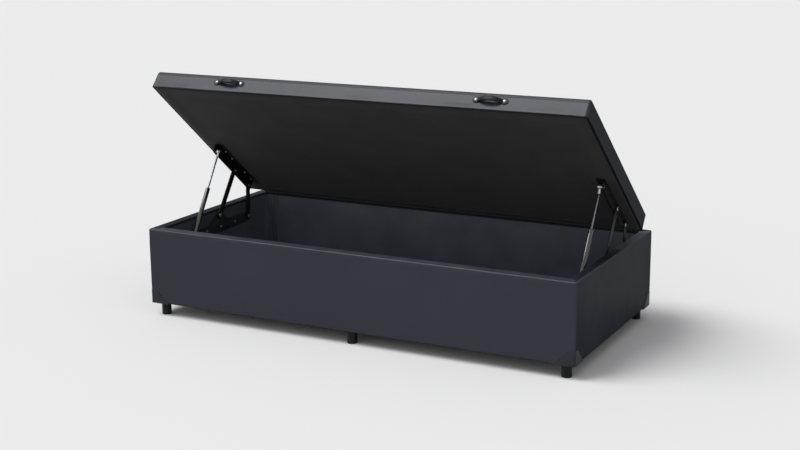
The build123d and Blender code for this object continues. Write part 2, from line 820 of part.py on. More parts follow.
with BuildPart() as strut_top_pins:
    for side in ends:
        disc(side, eye_in - strut_head_height, eye_in, (strut_top,), strut_collar_radius)
        disc(side, eye_in, eye_out, (strut_top,), strut_pin_radius)
finish(strut_top_pins, "strut_top_pins")


# Bowed handles with a pad at each end, under domed caps
def handle(centre_x):
    half = handle_pitch / 2
    inner_rise = handle_reach - handle_band_thickness
    band = handle_band_thickness
    lift_out = half - cap_radius - side_play
    lift_in = lift_out - band / 2
    start = lid_plane.from_local_coords((centre_x, -width, handle_height - handle_band_width / 2))
    grip_plane = Plane(origin=start, x_dir=lid_plane.x_dir, z_dir=lid_plane.z_dir)
    with BuildPart() as grip:
        with BuildSketch(grip_plane):
            with BuildLine():
                Polyline((-lift_in, 0), (-half, 0), (-half, -band), (-lift_out, -band))
                ThreePointArc((-lift_out, -band), (0, -handle_reach), (lift_out, -band))
                Polyline((lift_out, -band), (half, -band), (half, 0), (lift_in, 0))
                ThreePointArc((lift_in, 0), (0, -inner_rise), (-lift_in, 0))
            make_face()
        extrude(amount=handle_band_width)
        with BuildSketch(front_edge_plane):
            with Locations(*[(centre_x + side * half, handle_height) for side in ends]):
                Circle(handle_pad_radius)
        extrude(amount=band)
        with BuildSketch(front_edge_plane):
            with Locations(*[(centre_x + side * half, handle_height) for side in ends]):
                Circle(screw_radius + running_fit)
        extrude(amount=band, mode=Mode.SUBTRACT)
    return grip


finish(handle(handle_places[0]), "left_handle")
finish(handle(handle_places[1]), "right_handle")

with BuildPart() as handle_caps:
    with BuildSketch(front_edge_plane.offset(handle_band_thickness)):
        with Locations(*handle_ends):
            Circle(cap_radius)
    extrude(amount=cap_height)
    lid_front = Axis(front_edge_plane.origin, front_edge_plane.z_dir)
    chamfer(handle_caps.edges().group_by(lid_front)[-1], cap_edge_chamfer)
    with BuildSketch(front_edge_plane.offset(handle_band_thickness)):
        with Locations(*handle_ends):
            Circle(cap_radius - cap_wall)
    extrude(amount=cap_height - cap_wall, mode=Mode.SUBTRACT)
finish(handle_caps, "handle_caps")

with BuildPart() as handle_screws:
    with BuildSketch(front_edge_plane.offset(handle_band_thickness)):
        with Locations(*handle_ends):
            Circle(screw_head_radius)
    extrude(amount=screw_head_height)
    with BuildSketch(front_edge_plane.offset(handle_band_thickness)):
        with Locations(*handle_ends):
            Circle(screw_radius)
    extrude(amount=-screw_length)
finish(handle_screws, "handle_screws")
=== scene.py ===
import json
import math

import bmesh
import bpy
from mathutils import Matrix, Vector, noise


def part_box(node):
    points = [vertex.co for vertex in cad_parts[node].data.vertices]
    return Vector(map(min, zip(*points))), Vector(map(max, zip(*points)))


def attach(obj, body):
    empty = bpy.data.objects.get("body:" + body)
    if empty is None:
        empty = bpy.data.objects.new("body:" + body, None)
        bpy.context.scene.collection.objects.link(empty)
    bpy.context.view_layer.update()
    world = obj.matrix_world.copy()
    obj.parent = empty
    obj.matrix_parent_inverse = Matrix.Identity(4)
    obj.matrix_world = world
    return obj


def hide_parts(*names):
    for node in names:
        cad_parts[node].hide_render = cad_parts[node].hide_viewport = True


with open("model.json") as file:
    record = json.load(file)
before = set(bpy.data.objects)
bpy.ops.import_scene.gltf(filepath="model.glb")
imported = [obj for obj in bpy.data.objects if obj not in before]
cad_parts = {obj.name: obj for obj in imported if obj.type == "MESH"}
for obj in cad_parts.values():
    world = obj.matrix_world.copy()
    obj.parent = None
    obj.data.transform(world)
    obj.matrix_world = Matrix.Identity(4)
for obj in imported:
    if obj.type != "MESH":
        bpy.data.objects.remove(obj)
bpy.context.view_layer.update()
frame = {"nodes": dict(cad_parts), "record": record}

# Storage bed with its lid open, in metres. X runs along the bed, Y to the side that the lid hinges towards, and
# the floor is at zero.

MM = 0.001
SAME_POINT = 0.002 * MM

# Thickness of the cloths, and how the covers are cut and sewn
LEATHER = 1.5 * MM
CLOTH = 1.0 * MM
HEM = 42 * MM
FLAP = 40 * MM
BASE_CORNER = 7 * MM
LID_CORNER = 10 * MM
RIM_EDGE = 5 * MM
INNER_EDGE = 3 * MM
LID_EDGE = 10 * MM
LOWER_EDGE = 6 * MM
LID_LOWER_EDGE = 2 * MM
SEAM_DROP = 15 * MM
SEAM_DEPTH = 0.7 * MM
SEAM_HALF = 2.2 * MM
PLEAT_WIDTH = 15 * MM
PLEAT_RISE = 0.9 * MM

# Steps of the meshes, and how the cloths lie, sag and fold
FINE_STEP = 3 * MM
FINE_REACH = 105 * MM
COARSE_STEP = 15 * MM
CORNER_STEPS = 8
EDGE_STEPS = 6
LID_CROWN = 3.0 * MM
LID_SIDE_CROWN = 2.2 * MM
HEM_BULK = 1.5 * MM
UNDERSIDE_SAG = 5.0 * MM
DUST_SAG = 4.0 * MM
FOLD_DEPTH = 6.0 * MM
FOLD_WIDTH = 3.9 * MM
FOLD_PLACES = (30 * MM, 44 * MM, 60 * MM)
LINING_CORNER = 34 * MM
LINING_ROUND = 7 * MM
CLOTH_INSET = 7 * MM
DUST_INSET = LEATHER + 1.5 * MM
HEM_SUNK = 0.75 * MM
CLOTH_PROUD = 0.3 * MM
STAPLE_PITCH = 38 * MM
STAPLE_INSET = 21 * MM
STITCH_LENGTH = 5.5 * MM
STITCH_PITCH = 8.0 * MM
STITCH_RADIUS = 0.55 * MM

# Handles
HANDLE_PITCH = 113 * MM
HANDLE_REACH = 24 * MM
HANDLE_WIDTH = 19 * MM
HANDLE_BAND = 8.5 * MM
PAD_RADIUS = 14 * MM
PAD_THICKNESS = 4 * MM
CAP_RADIUS = 8 * MM
CAP_HEIGHT = 5.4 * MM

# What is read from the frame
body_low, body_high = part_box("base_cover")
lining_low, lining_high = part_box("base_lining")
dust_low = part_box("dust_cloth")[0]
rest_mount = next(m for m in frame["record"]["mounts"] if m["name"] == "mattress_rest")
tilt = math.atan2(rest_mount["axis"][1], rest_mount["axis"][2])
lid_turn = Matrix.Rotation(-tilt, 4, "X")


def box_of(points):
    """Lowest and highest corner of some points."""
    return tuple(Vector([pick(p[i] for p in points) for i in range(3)]) for pick in (min, max))


def corners_in(name, place):
    """Lowest and highest corner of a CAD node in a turned frame."""
    back = place.inverted()
    return box_of([back @ v.co for v in frame["nodes"][name].data.vertices])


# The lid's own frame: x along the bed, y from its front edge to 0 at its rear edge, z from its underside
turned_low, turned_high = corners_in("lid_cover", lid_turn)
lid_place = lid_turn @ Matrix.Translation((0, turned_high.y, turned_low.z))
lid_length = turned_high.x - turned_low.x
lid_width = turned_high.y - turned_low.y
lid_height = turned_high.z - turned_low.z
lid_middle = lid_place @ Matrix.Translation((0, -lid_width / 2, 0))
half_length = body_high.x
half_width = body_high.y
base_bottom = body_low.z
rim = body_high.z


# Making meshes

def linked(name, data):
    """An object in the scene, at the origin."""
    made = bpy.data.objects.new(name, data)
    bpy.context.scene.collection.objects.link(made)
    return made


def shade(mesh, angle):
    """Shade a mesh smooth but for edges sharper than an angle."""
    mesh.polygons.foreach_set("use_smooth", [True] * len(mesh.polygons))
    mesh.set_sharp_from_angle(angle=math.radians(angle))


def put(name, points, faces, place=Matrix(), smooth=30):
    """A mesh object from points and faces, with its place in its mesh."""
    mesh = bpy.data.meshes.new(name)
    mesh.from_pydata([tuple(p) for p in points], [], faces)
    mesh.transform(place)
    shade(mesh, smooth)
    return linked(name, mesh)


def tidy_mesh(made, within=0.02 * MM):
    """Merge what meets, drop what has no area, and point the faces outwards."""
    shape = bmesh.new()
    shape.from_mesh(made.data)
    bmesh.ops.remove_doubles(shape, verts=shape.verts, dist=within)
    bmesh.ops.dissolve_degenerate(shape, edges=shape.edges, dist=within)
    bmesh.ops.recalc_face_normals(shape, faces=shape.faces)
    shape.to_mesh(made.data)
    shape.free()
    made.data.update()


def settled(made):
    """Apply an object's modifiers, so that it is left as a plain mesh."""
    graph = bpy.context.evaluated_depsgraph_get()
    mesh = bpy.data.meshes.new_from_object(made.evaluated_get(graph))
    made.modifiers.clear()
    old = made.data
    made.data = mesh
    mesh.name = made.name
    bpy.data.meshes.remove(old)
    return made


def thicken(made, thickness, sharp=None):
    """Give a sheet its thickness, behind its shown face, and shade it anew if asked."""
    wall = made.modifiers.new("Thickness", "SOLIDIFY")
    wall.thickness = thickness
    wall.offset = -1
    wall.use_rim = True
    settled(made)
    if sharp:
        shade(made.data, sharp)
    return made


def finish_piece(made, body, slot, material, *stands_for):
    """Give a piece its material, the body that it rides on and the CAD nodes that it stands for."""
    made.data.materials.clear()
    made.data.materials.append(material)
    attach(made, body)
    if stands_for:
        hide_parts(*stands_for)
    return made


def ease(value):
    """From 0 to 1 with soft ends."""
    value = min(1, max(0, value))
    return value * value * (3 - 2 * value)


def wave(point, size, seed=0):
    """Smooth random value from -1 to 1 that changes over a length."""
    return noise.noise(Vector(point) / size + Vector((seed * 17.3, seed * 5.1, seed * 9.7)))


def side_steps(length):
    """Distances along a side, close together near its ends."""
    near = [i * FINE_STEP for i in range(int(FINE_REACH / FINE_STEP))]
    middle = length - 2 * FINE_REACH
    count = max(2, round(middle / COARSE_STEP))
    far = [FINE_REACH + middle * i / count for i in range(count + 1)]
    return near + far + [length - d for d in reversed(near)]


def sides_of(half_x, half_y):
    """Sides of a rectangle, counter-clockwise from above: number, way along, way out, half length and place
    outwards. Sides 0 and 2 are the front and the rear, 1 and 3 the ends."""
    for side, (x, y) in enumerate(((1, 0), (0, 1), (-1, 0), (0, -1))):
        reach, across = (half_x, half_y) if side in (0, 2) else (half_y, half_x)
        yield side, Vector((x, y, 0)), Vector((y, -x, 0)), reach, across


def run_of(place, side):
    """How far along its side a place lies."""
    return place.x if side in (0, 2) else place.y


def loop(half_x, half_y, radius, full=None):
    """Stations round a rounded rectangle, counter-clockwise from above: point, outward normal, side, and
    length from the side's nearer end. All loops made with the same full sizes have the same stations."""
    full_x, full_y = full or (half_x, half_y)
    stations = []
    for side, along, out, reach, across in sides_of(half_x, half_y):
        full_reach = full_x if side in (0, 2) else full_y
        straight = reach - radius
        for step in side_steps(2 * full_reach):
            share = step / (2 * full_reach)
            place = along * straight * (2 * share - 1) + out * across
            stations.append((place, out, side, min(step, 2 * full_reach - step)))
        centre = along * straight + out * (across - radius)
        for i in range(1, CORNER_STEPS):
            turn = math.pi / 2 * i / CORNER_STEPS
            normal = out * math.cos(turn) + along * math.sin(turn)
            stations.append((centre + normal * radius, normal, side, 0.0))
    return stations


def drawn_in(stations, half_x, half_y, edge, inset):
    """The places of a loop inside its rounded edge, drawn in evenly towards the middle."""
    left_x, left_y = half_x - edge, half_y - edge
    places = [p - n * edge for p, n, s, d in stations]
    return [(p.x * (half_x - inset) / left_x, p.y * (half_y - inset) / left_y) for p in places]


def quarter(radius, steps=EDGE_STEPS):
    """Steps round a quarter circle, as a length that falls from the radius and one that rises to it."""
    turns = [math.pi / 2 * i / steps for i in range(steps + 1)]
    return [(radius * (1 - math.sin(turn)), radius * (1 - math.cos(turn))) for turn in turns]


def loft(name, rows, place=Matrix(), smooth=35, ends=False):
    """Join closed rows of points with faces, and put a face over each end if asked."""
    count = len(rows[0])
    faces = []
    for r in range(len(rows) - 1):
        for i in range(count):
            j = (i + 1) % count
            faces.append((r * count + i, r * count + j, (r + 1) * count + j, (r + 1) * count + i))
    if ends:
        faces.append(tuple(range(count))[::-1])
        faces.append(tuple(range(len(rows) * count - count, len(rows) * count)))
    return put(name, [p for row in rows for p in row], faces, place, smooth)


def mark(made, name, value_of):
    """Store a number for each point, for its material to read."""
    layer = made.data.attributes.new(name, "FLOAT", "POINT")
    layer.data.foreach_set("value", [value_of(v.co) for v in made.data.vertices])


# Materials

def colour(code):
    """An sRGB hex colour as the linear one that shaders take."""
    parts = [int(code[i:i + 2], 16) / 255 for i in (1, 3, 5)]
    linear = [p / 12.92 if p <= 0.04045 else ((p + 0.055) / 1.055) ** 2.4 for p in parts]
    return (*linear, 1.0)


def add(tree, kind, links=None, out=0, **settings):
    """A node with its settings, and its inputs linked or set. Gives one output, or all where out is None."""
    made = tree.nodes.new(kind if "Node" in kind else "ShaderNode" + kind)
    for key, value in settings.items():
        setattr(made, key, value)
    for key, value in (links or {}).items():
        if isinstance(value, bpy.types.NodeSocket):
            tree.links.new(value, made.inputs[key])
        else:
            made.inputs[key].default_value = value
    return made.outputs if out is None else made.outputs[out]


def begin(name, *noises, **values):
    """A new material with its main shader, the object's own coordinates, and noises of a size and a detail."""
    made = bpy.data.materials.new(name)
    made.use_nodes = True
    tree = made.node_tree
    for key, value in values.items():
        tree.nodes["Principled BSDF"].inputs[key.replace("_", " ")].default_value = value
    coords = add(tree, "TexCoord", out="Object")
    clouds = [
        add(tree, "TexNoise", {"Vector": coords, "Scale": 1 / size, "Detail": detail})
        for size, detail in noises
    ]
    return made, tree, coords, *clouds


def wired(made, **sockets):
    """A material with outputs linked to its main shader."""
    tree = made.node_tree
    for key, value in sockets.items():
        tree.links.new(value, tree.nodes["Principled BSDF"].inputs[key.replace("_", " ")])
    return made


# In the calls below, Map Range takes 0 the value, 1 and 2 its range, 3 and 4 the new range. Mix takes 0 the
# factor, 6 and 7 the two colours, and gives the mixed colour at output 2. Grain, fibres, dots, cells and
# scratches that are too fine to show are drawn as coarse as they need to show.

def over(tree, base, shade_code, spread):
    """A colour laid over another where a Map Range says."""
    share = add(tree, "MapRange", spread)
    return add(tree, "Mix", {0: share, 6: base, 7: colour(shade_code)}, 2, data_type="RGBA")


def leather_material():
    """PVC-coated cloth, calendered and embossed with a pebble grain: a slate sheen that is soft and a little
    uneven, fine creases between the pebbles darkened as painted shade, polish where it is pulled over an edge,
    lighter there as wear and as painted light, and painted shade with less reflection where the lid shades the
    rim."""
    made, tree, coords, pull, cloud = begin(
        "coated_cloth_slate", (60 * MM, 3.0), (340 * MM, 2.0),
        Specular_IOR_Level=0.0, Coat_IOR=3.0, Coat_Roughness=0.29,
    )
    pebble = 2.4 * MM
    cells = add(tree, "TexVoronoi", {"Vector": coords, "Scale": 1 / pebble}, feature="DISTANCE_TO_EDGE")
    crease = add(tree, "MapRange", {0: cells, 2: 0.22})
    wear, rubbed = [add(tree, "Attribute", out="Fac", attribute_name=key) for key in ("wear", "rubbed")]
    base = over(tree, colour("#2d313a"), "#323640", {0: cloud, 1: 0.32, 2: 0.68})
    # Painted shade: the grooves between the pebbles are darker
    base = over(tree, base, "#1d1f25", {0: crease, 3: 0.45, 4: 0.0})
    # Lighter at worn edges, and painted light on the rim's top, the right end's rim and the end walls
    base = over(tree, base, "#555a63", {0: wear, 4: 0.8})
    # Painted shade: a darker colour here and a weaker coat on the next line, where the lid shades the rim, on
    # the lid's ends and on the lid's hem strip
    base = over(tree, base, "#0e0f11", {0: rubbed, 4: 0.95})
    shine = add(tree, "MapRange", {0: rubbed, 3: 0.088, 4: 0.012})
    soft = add(tree, "MapRange", {0: pull, 1: 0.3, 2: 0.7, 3: 0.34, 4: 0.44})
    polish = add(tree, "MapRange", {0: wear, 4: 0.10})
    rough = add(tree, "Math", {0: soft, 1: polish}, operation="SUBTRACT")
    grain = add(tree, "Bump", {"Height": crease, "Strength": 0.35, "Distance": 0.12 * MM})
    swell = add(tree, "Bump", {"Height": pull, "Strength": 0.5, "Distance": 1.2 * MM, "Normal": grain})
    return wired(made, Base_Color=base, Coat_Weight=shine, Roughness=rough, Normal=swell, Coat_Normal=swell)


def lining_material(name, shade_code, lighter):
    """Spun-bonded polypropylene, pressed with rows of small dots: flat, matt and dark, with a faint
    cloudiness where the fibres lie thicker."""
    made, tree, coords, cloud = begin(
        name, (120 * MM, 5.0), Specular_IOR_Level=0.25, Sheen_Weight=0.08, Sheen_Roughness=0.6,
    )
    dot_pitch = 3.0 * MM
    dots = add(tree, "TexVoronoi", {"Vector": coords, "Scale": 1 / dot_pitch, "Randomness": 0.12})
    pressed = add(tree, "MapRange", {0: dots, 1: 0.18, 2: 0.42})
    fibre_width = 1.6 * MM
    strands = {"Vector": coords, "Scale": 1 / fibre_width, "Detail": 4.0, "Distortion": 1.5}
    fibres = add(tree, "TexNoise", strands)
    base = over(tree, colour(shade_code), lighter, {0: cloud, 1: 0.3, 2: 0.7})
    base = over(tree, base, "#08090a", {0: pressed, 3: 0.35, 4: 0.0})
    rough = add(tree, "MapRange", {0: fibres, 1: 0.2, 2: 0.8, 3: 0.72, 4: 0.92})
    height = add(tree, "Math", {0: pressed, 1: fibres}, operation="ADD")
    bump = add(tree, "Bump", {"Height": height, "Strength": 0.5, "Distance": 0.15 * MM})
    return wired(made, Base_Color=base, Roughness=rough, Normal=bump)


def timber_material(name, turn):
    """Planed pine: pale wood with darker growth rings drawn out along the grain, and a soft planed sheen."""
    made, tree, coords = begin(name, Specular_IOR_Level=0.4)
    placed = add(tree, "Mapping", {"Vector": coords, "Rotation": (0, 0, turn), "Scale": (0.06, 1.0, 1.0)})
    # A wave repeats after 0.31 of this length, so the rings are 12 mm apart
    ring_width = 40 * MM
    rings = add(tree, "TexWave", {
        "Vector": placed, "Scale": 1 / ring_width, "Distortion": 6.0, "Detail": 3.0, "Detail Scale": 1.4,
    }, "Fac", bands_direction="DIAGONAL")
    fibre = add(tree, "TexNoise", {"Vector": placed, "Scale": 1 / (1.8 * MM), "Detail": 3.0})
    base = over(tree, colour("#dcc193"), "#b98f56", {0: rings, 1: 0.2, 2: 0.85})
    base = over(tree, base, "#8d6a3d", {0: fibre, 1: 0.35, 2: 0.75, 4: 0.35})
    rough = add(tree, "MapRange", {0: rings, 3: 0.62, 4: 0.48})
    bump = add(tree, "Bump", {"Height": fibre, "Strength": 0.4, "Distance": 0.15 * MM})
    return wired(made, Base_Color=base, Roughness=rough, Normal=bump)


def board_material():
    """Pressed hardboard: brown fibres matted together, smooth on its face, with darker flecks."""
    made, tree, _, flecks, cloud = begin(
        "pressed_hardboard", (3 * MM, 5.0), (90 * MM, 3.0), Specular_IOR_Level=0.35,
    )
    base = over(tree, colour("#8a6239"), "#9c7246", {0: cloud, 1: 0.3, 2: 0.7})
    base = over(tree, base, "#5c3d21", {0: flecks, 1: 0.5, 2: 0.75, 4: 0.7})
    rough = add(tree, "MapRange", {0: flecks, 1: 0.3, 2: 0.7, 3: 0.5, 4: 0.68})
    bump = add(tree, "Bump", {"Height": flecks, "Strength": 0.3, "Distance": 0.1 * MM})
    return wired(made, Base_Color=base, Roughness=rough, Normal=bump)


def foam_material():
    """Open-cell polyurethane foam, sliced: cream, dull, and pitted all over with small cells."""
    made, tree, coords, cloud = begin("sliced_foam", (150 * MM, 2.0), Roughness=0.95, Specular_IOR_Level=0.2)
    cells = add(tree, "TexVoronoi", {"Vector": coords, "Scale": 1 / (1.8 * MM)})
    base = over(tree, colour("#e3d9b6"), "#d8c99c", {0: cloud, 1: 0.3, 2: 0.7})
    # Painted shade: the pits of the cells are darker
    base = over(tree, base, "#9b8a5c", {0: cells, 1: 0.1, 2: 0.6, 3: 0.4, 4: 0.0})
    bump = add(tree, "Bump", {"Height": cells, "Strength": 0.8, "Distance": 0.5 * MM})
    return wired(made, Base_Color=base, Normal=bump)


def nylon_material():
    """Natural nylon, turned: milky white with light glowing a little way into it."""
    made, tree, _, milk = begin("natural_nylon", (4 * MM, 3.0), Subsurface_Weight=0.3, Subsurface_Scale=2 * MM)
    base = over(tree, colour("#d9d7cc"), "#c6c2b2", {0: milk, 1: 0.3, 2: 0.7})
    rough = add(tree, "MapRange", {0: milk, 1: 0.3, 2: 0.7, 3: 0.42, 4: 0.55})
    return wired(made, Base_Color=base, Roughness=rough)


def two_shades(name, shade_code, lighter, gloss, broad, fine, patchy, relief, **values):
    """One shade that goes over into another in soft patches, which are also duller, with a fine relief. The
    broad and the fine noise are (size, detail), and the relief is (strength, depth)."""
    made, tree, _, patches, grain = begin(name, broad, fine, **values)
    base = over(tree, colour(shade_code), lighter, {0: patches, 1: patchy[0], 2: patchy[1]})
    rough = add(tree, "MapRange", {0: patches, 1: 0.3, 2: 0.7, 3: gloss[0], 4: gloss[1]})
    bump = add(tree, "Bump", {"Height": grain, "Strength": relief[0], "Distance": relief[1]})
    return wired(made, Base_Color=base, Roughness=rough, Normal=bump)


# Injection-moulded polypropylene with a spark-eroded texture: dull black, a little grey where rubbed
MOULDED = {
    "gloss": (0.36, 0.48), "broad": (14 * MM, 4.0), "fine": (0.9 * MM, 2.0), "patchy": (0.45, 0.75),
    "relief": (0.25, 0.08 * MM), "Specular_IOR_Level": 0.18,
}
black_plastic = two_shades("moulded_black_plastic", "#131416", "#202224", **MOULDED)
guard_plastic = two_shades("moulded_guard_plastic", "#2a2d30", "#34383b", **MOULDED)

# Plated steel: a metal mirror broken by fine scratches and a slight cloud in the plating
PLATED = {"fine": (0.5 * MM, 2.0), "patchy": (0.35, 0.7), "relief": (0.12, 0.03 * MM), "Metallic": 1.0}
chrome = two_shades("bright_chrome", "#94989d", "#7f8389", (0.14, 0.22), (20 * MM, 4.0), **PLATED)
zinc = two_shades("zinc_plated_steel", "#c9cbcc", "#a7a9a6", (0.24, 0.38), (5 * MM, 4.0), **PLATED)
rod_chrome = two_shades("ground_chrome_rod", "#8d9196", "#767a80", (0.22, 0.32), (12 * MM, 4.0), **PLATED)

# Black stoving paint on pressed steel: a low orange-peel shine, greyer where parts have rubbed
PAINTED = {
    "broad": (9 * MM, 6.0), "fine": (2.2 * MM, 1.0), "patchy": (0.58, 0.72), "relief": (0.2, 0.1 * MM),
    "Specular_IOR_Level": 0.13, "Coat_IOR": 2.6, "Coat_Roughness": 0.12,
}
black_steel = two_shades("stoved_black_steel", "#141517", "#27292b", (0.38, 0.52), **PAINTED)
# The hinge plates on the walls take a lighter copy of this black steel: painted light, for the light that falls
# on them inside the box
steel_with_painted_light = two_shades("stoved_plate_steel", "#303236", "#414449", (0.38, 0.52), **PAINTED)

# The struts' tubes have a glossier coat of the same paint
GLOSSY = {**PAINTED, "Coat_Weight": 0.36}
gloss_enamel = two_shades("gloss_black_enamel", "#08080a", "#101013", (0.12, 0.20), **GLOSSY)

leather = leather_material()
wall_lining = lining_material("pressed_lining_slate", "#434a52", "#4e565f")
lid_lining = lining_material("pressed_lining_black", "#1d1b1c", "#2a2726")
thread = lining_material("polyester_thread", "#2c3038", "#3b404a")
pine_long = timber_material("planed_pine_long", 0)
pine_cross = timber_material("planed_pine_cross", math.pi / 2)
hardboard = board_material()
foam = foam_material()
nylon = nylon_material()


# Base cover: coated cloth from the hem below, up the walls, over the rim and down inside

def wear_near(value, reach):
    """1 at an edge and 0 beyond a reach from it."""
    return 1 - ease(abs(value) / reach)


def behind_faces(at, half_x, half_y):
    """How deep a point lies behind the nearer and the farther of its two outer faces."""
    return sorted((half_x - abs(at.x), half_y - abs(at.y)))


def pleat(side, from_corner):
    """Rise of the cloth where it is folded double beside an end's corners."""
    return PLEAT_RISE * (1 - ease((from_corner - PLEAT_WIDTH) / (4 * MM))) if side in (1, 3) else 0


def wall_swell(place, side, from_corner, height, tall):
    """How far the cloth stands proud of the wall behind it."""
    at = (place.x, place.y, height)
    hold = ease(height / (0.2 * tall)) * ease((tall - height) / (0.2 * tall))
    soft = 0.9 * MM * wave(at, 0.42, 1) * hold + 0.35 * MM * wave(at, 0.11, 2) * hold
    run = run_of(place, side)
    pucker = 0.55 * MM * wave((run, side, 0), 0.05, 3) * (1 - ease(height / (0.28 * tall)))
    draw = 0.5 * MM * math.sin((height - run) / (14 * MM)) * (1 - ease(from_corner / (70 * MM)))
    draw *= 1 - ease(height / (0.35 * tall))
    return soft + pucker + draw + (PLEAT_RISE if from_corner == 0 else pleat(side, from_corner))


def base_cover():
    """The rows run from the hem's cut edge, out and up, over the rim and down to the flap's end inside."""
    full = (half_length, half_width)
    outer = loop(half_length, half_width, BASE_CORNER)
    inner = loop(lining_high.x, lining_high.y, 2 * MM, full)
    tall = rim - base_bottom
    rows = []

    def outer_row(inset, height, swell=0.0):
        rows.append([
            Vector((*(p - n * inset).xy, base_bottom + height))
            + n * swell * wall_swell(p, s, d, height, tall) for p, n, s, d in outer
        ])

    for reach in (HEM, HEM / 2):
        hem = loop(half_length - reach, half_width - reach, BASE_CORNER, full)
        rows.append([Vector((*p.xy, base_bottom)) for p, n, s, d in hem])
    for fall, rise in quarter(LOWER_EDGE):
        outer_row(fall, rise)
    wall_rows = 26
    for i in range(1, wall_rows):
        share = i / wall_rows
        height = LOWER_EDGE + (tall - LOWER_EDGE - RIM_EDGE) * share
        outer_row(0, height, min(1, 6 * share, 6 * (1 - share)))
    for fall, rise in quarter(RIM_EDGE):
        outer_row(rise, tall - fall)
    for share in (0.2, 0.4, 0.6, 0.8, 1.0):
        row = []
        for (p, n, s, d), (q, m, _, _) in zip(outer, inner):
            place = (p - n * RIM_EDGE).lerp(q + m * INNER_EDGE, share)
            dip = 0.5 * MM * (1 + wave((run_of(place, s), s, 0), 0.09, 4)) * math.sin(math.pi * share)
            row.append(Vector((*place.xy, rim - dip)))
        rows.append(row)
    for fall, rise in quarter(INNER_EDGE)[1:]:
        rows.append([Vector((*(q + m * fall).xy, rim - rise)) for q, m, _, _ in inner])
    for share in (0.3, 0.6, 0.8, 1.0):
        rows.append([Vector((*q.xy, rim - INNER_EDGE - (FLAP - INNER_EDGE) * share)) for q, m, _, _ in inner])
    made = thicken(loft("base_cover_leather", rows), LEATHER, 50)

    def on_end(at):
        """Whether a point is over an end wall and not over the front or rear one."""
        return abs(at.x) - lining_high.x > abs(at.y) - lining_high.y

    def rubbed(at):
        """How far the rim is darkened as painted shade, where the raised lid shades it: most along the rear,
        and in part along the ends.
        """
        on_top = ease((at.z - rim + 3.5 * MM) / (2 * MM))
        from_outside = behind_faces(at, half_length, half_width)[0]
        beside_opening = max(abs(at.x) - lining_high.x, abs(at.y) - lining_high.y)
        between = ease((from_outside - 3 * MM) / (4 * MM)) * ease((beside_opening - 2 * MM) / (3 * MM))
        if not on_end(at):
            rear_shade = ease((at.z - rim + 9 * MM) / (4 * MM)) * ease((from_outside - 3 * MM) / (4 * MM))
            return rear_shade * (at.y > 0)
        left = 0.45 * (1 - ease((at.y - 0.12) / 0.2))
        right = 0.5 * (1 - ease((at.y + 0.05) / 0.1)) * ease((half_width + at.y) / 0.12)
        return on_top * between * (left if at.x < 0 else right)

    def wear(at):
        # Wear and painted light. Edge, upright and lower lighten the rim's edge, the upright corners and the
        # lower edge as wear, and the rim's edge also as painted light. Front, corner and tight are painted
        # light on the front rim's top, the rear of the right end's rim and the end walls.
        from_outside, from_corner = behind_faces(at, half_length, half_width)
        edge = wear_near(rim - at.z, 7 * MM) * wear_near(max(0, from_outside - 3 * MM), 6 * MM)
        top = wear_near(rim - at.z, 4 * MM)
        front = 0.6 * top * (at.y < 0 and not on_end(at))
        corner = top * ease((at.y - 0.05) / 0.06) * (at.x > 0 and on_end(at))
        upright = wear_near(from_corner, 6 * MM)
        patch = 0.6 + 0.4 * wave(at, 0.05, 6)
        lower = 0.25 * wear_near(at.z - base_bottom, 6 * MM)
        tight = 0.25 * wear_near(half_length - abs(at.x), 6 * MM) * ease((half_width - abs(at.y)) / 0.15)
        return max(corner, max(0.62 * edge, front, 0.37 * upright, lower, tight) * patch)

    mark(made, "wear", wear)
    mark(made, "rubbed", rubbed)
    finish_piece(made, "base", "leather", leather, "base_cover")


base_cover()


# Lid cover: coated cloth over the foam, down the sides and turned under in a stapled hem

def lid_crown(x, y):
    """Height of the lid's padded top above its edge, from the lid's middle."""
    across = 1 - (x / (lid_length / 2)) ** 6
    deep = 1 - (y / (lid_width / 2)) ** 4
    soft = LID_CROWN * max(0, across) ** 0.5 * max(0, deep) ** 0.5
    return soft + 0.5 * MM * wave((x, y, 0), 0.16, 11) * max(0, across) * max(0, deep)


def lid_side_swell(place, side, from_corner, height):
    """How far the lid's side stands proud: flat at the seam, and out in soft lumps over the turned hem."""
    run = run_of(place, side)
    share = min(1, max(0, height / (lid_height - SEAM_DROP)))
    full = LID_SIDE_CROWN * ease(1 - share)
    lump = 0.5 + wave((run, side * 3.0, 0), 0.14, 12) + 0.3 * wave((run, side, 0), 0.045, 13)
    tuck = HEM_BULK * max(0, lump) * (1 - ease(share / 0.42))
    groove = SEAM_DEPTH * (1 - ease(abs(height - (lid_height - SEAM_DROP)) / SEAM_HALF))
    slack = (0.35 + 0.65 * ease(from_corner / (60 * MM))) * (0.3 if side == 2 else 1)
    return (full + tuck) * slack + pleat(side, from_corner) - groove

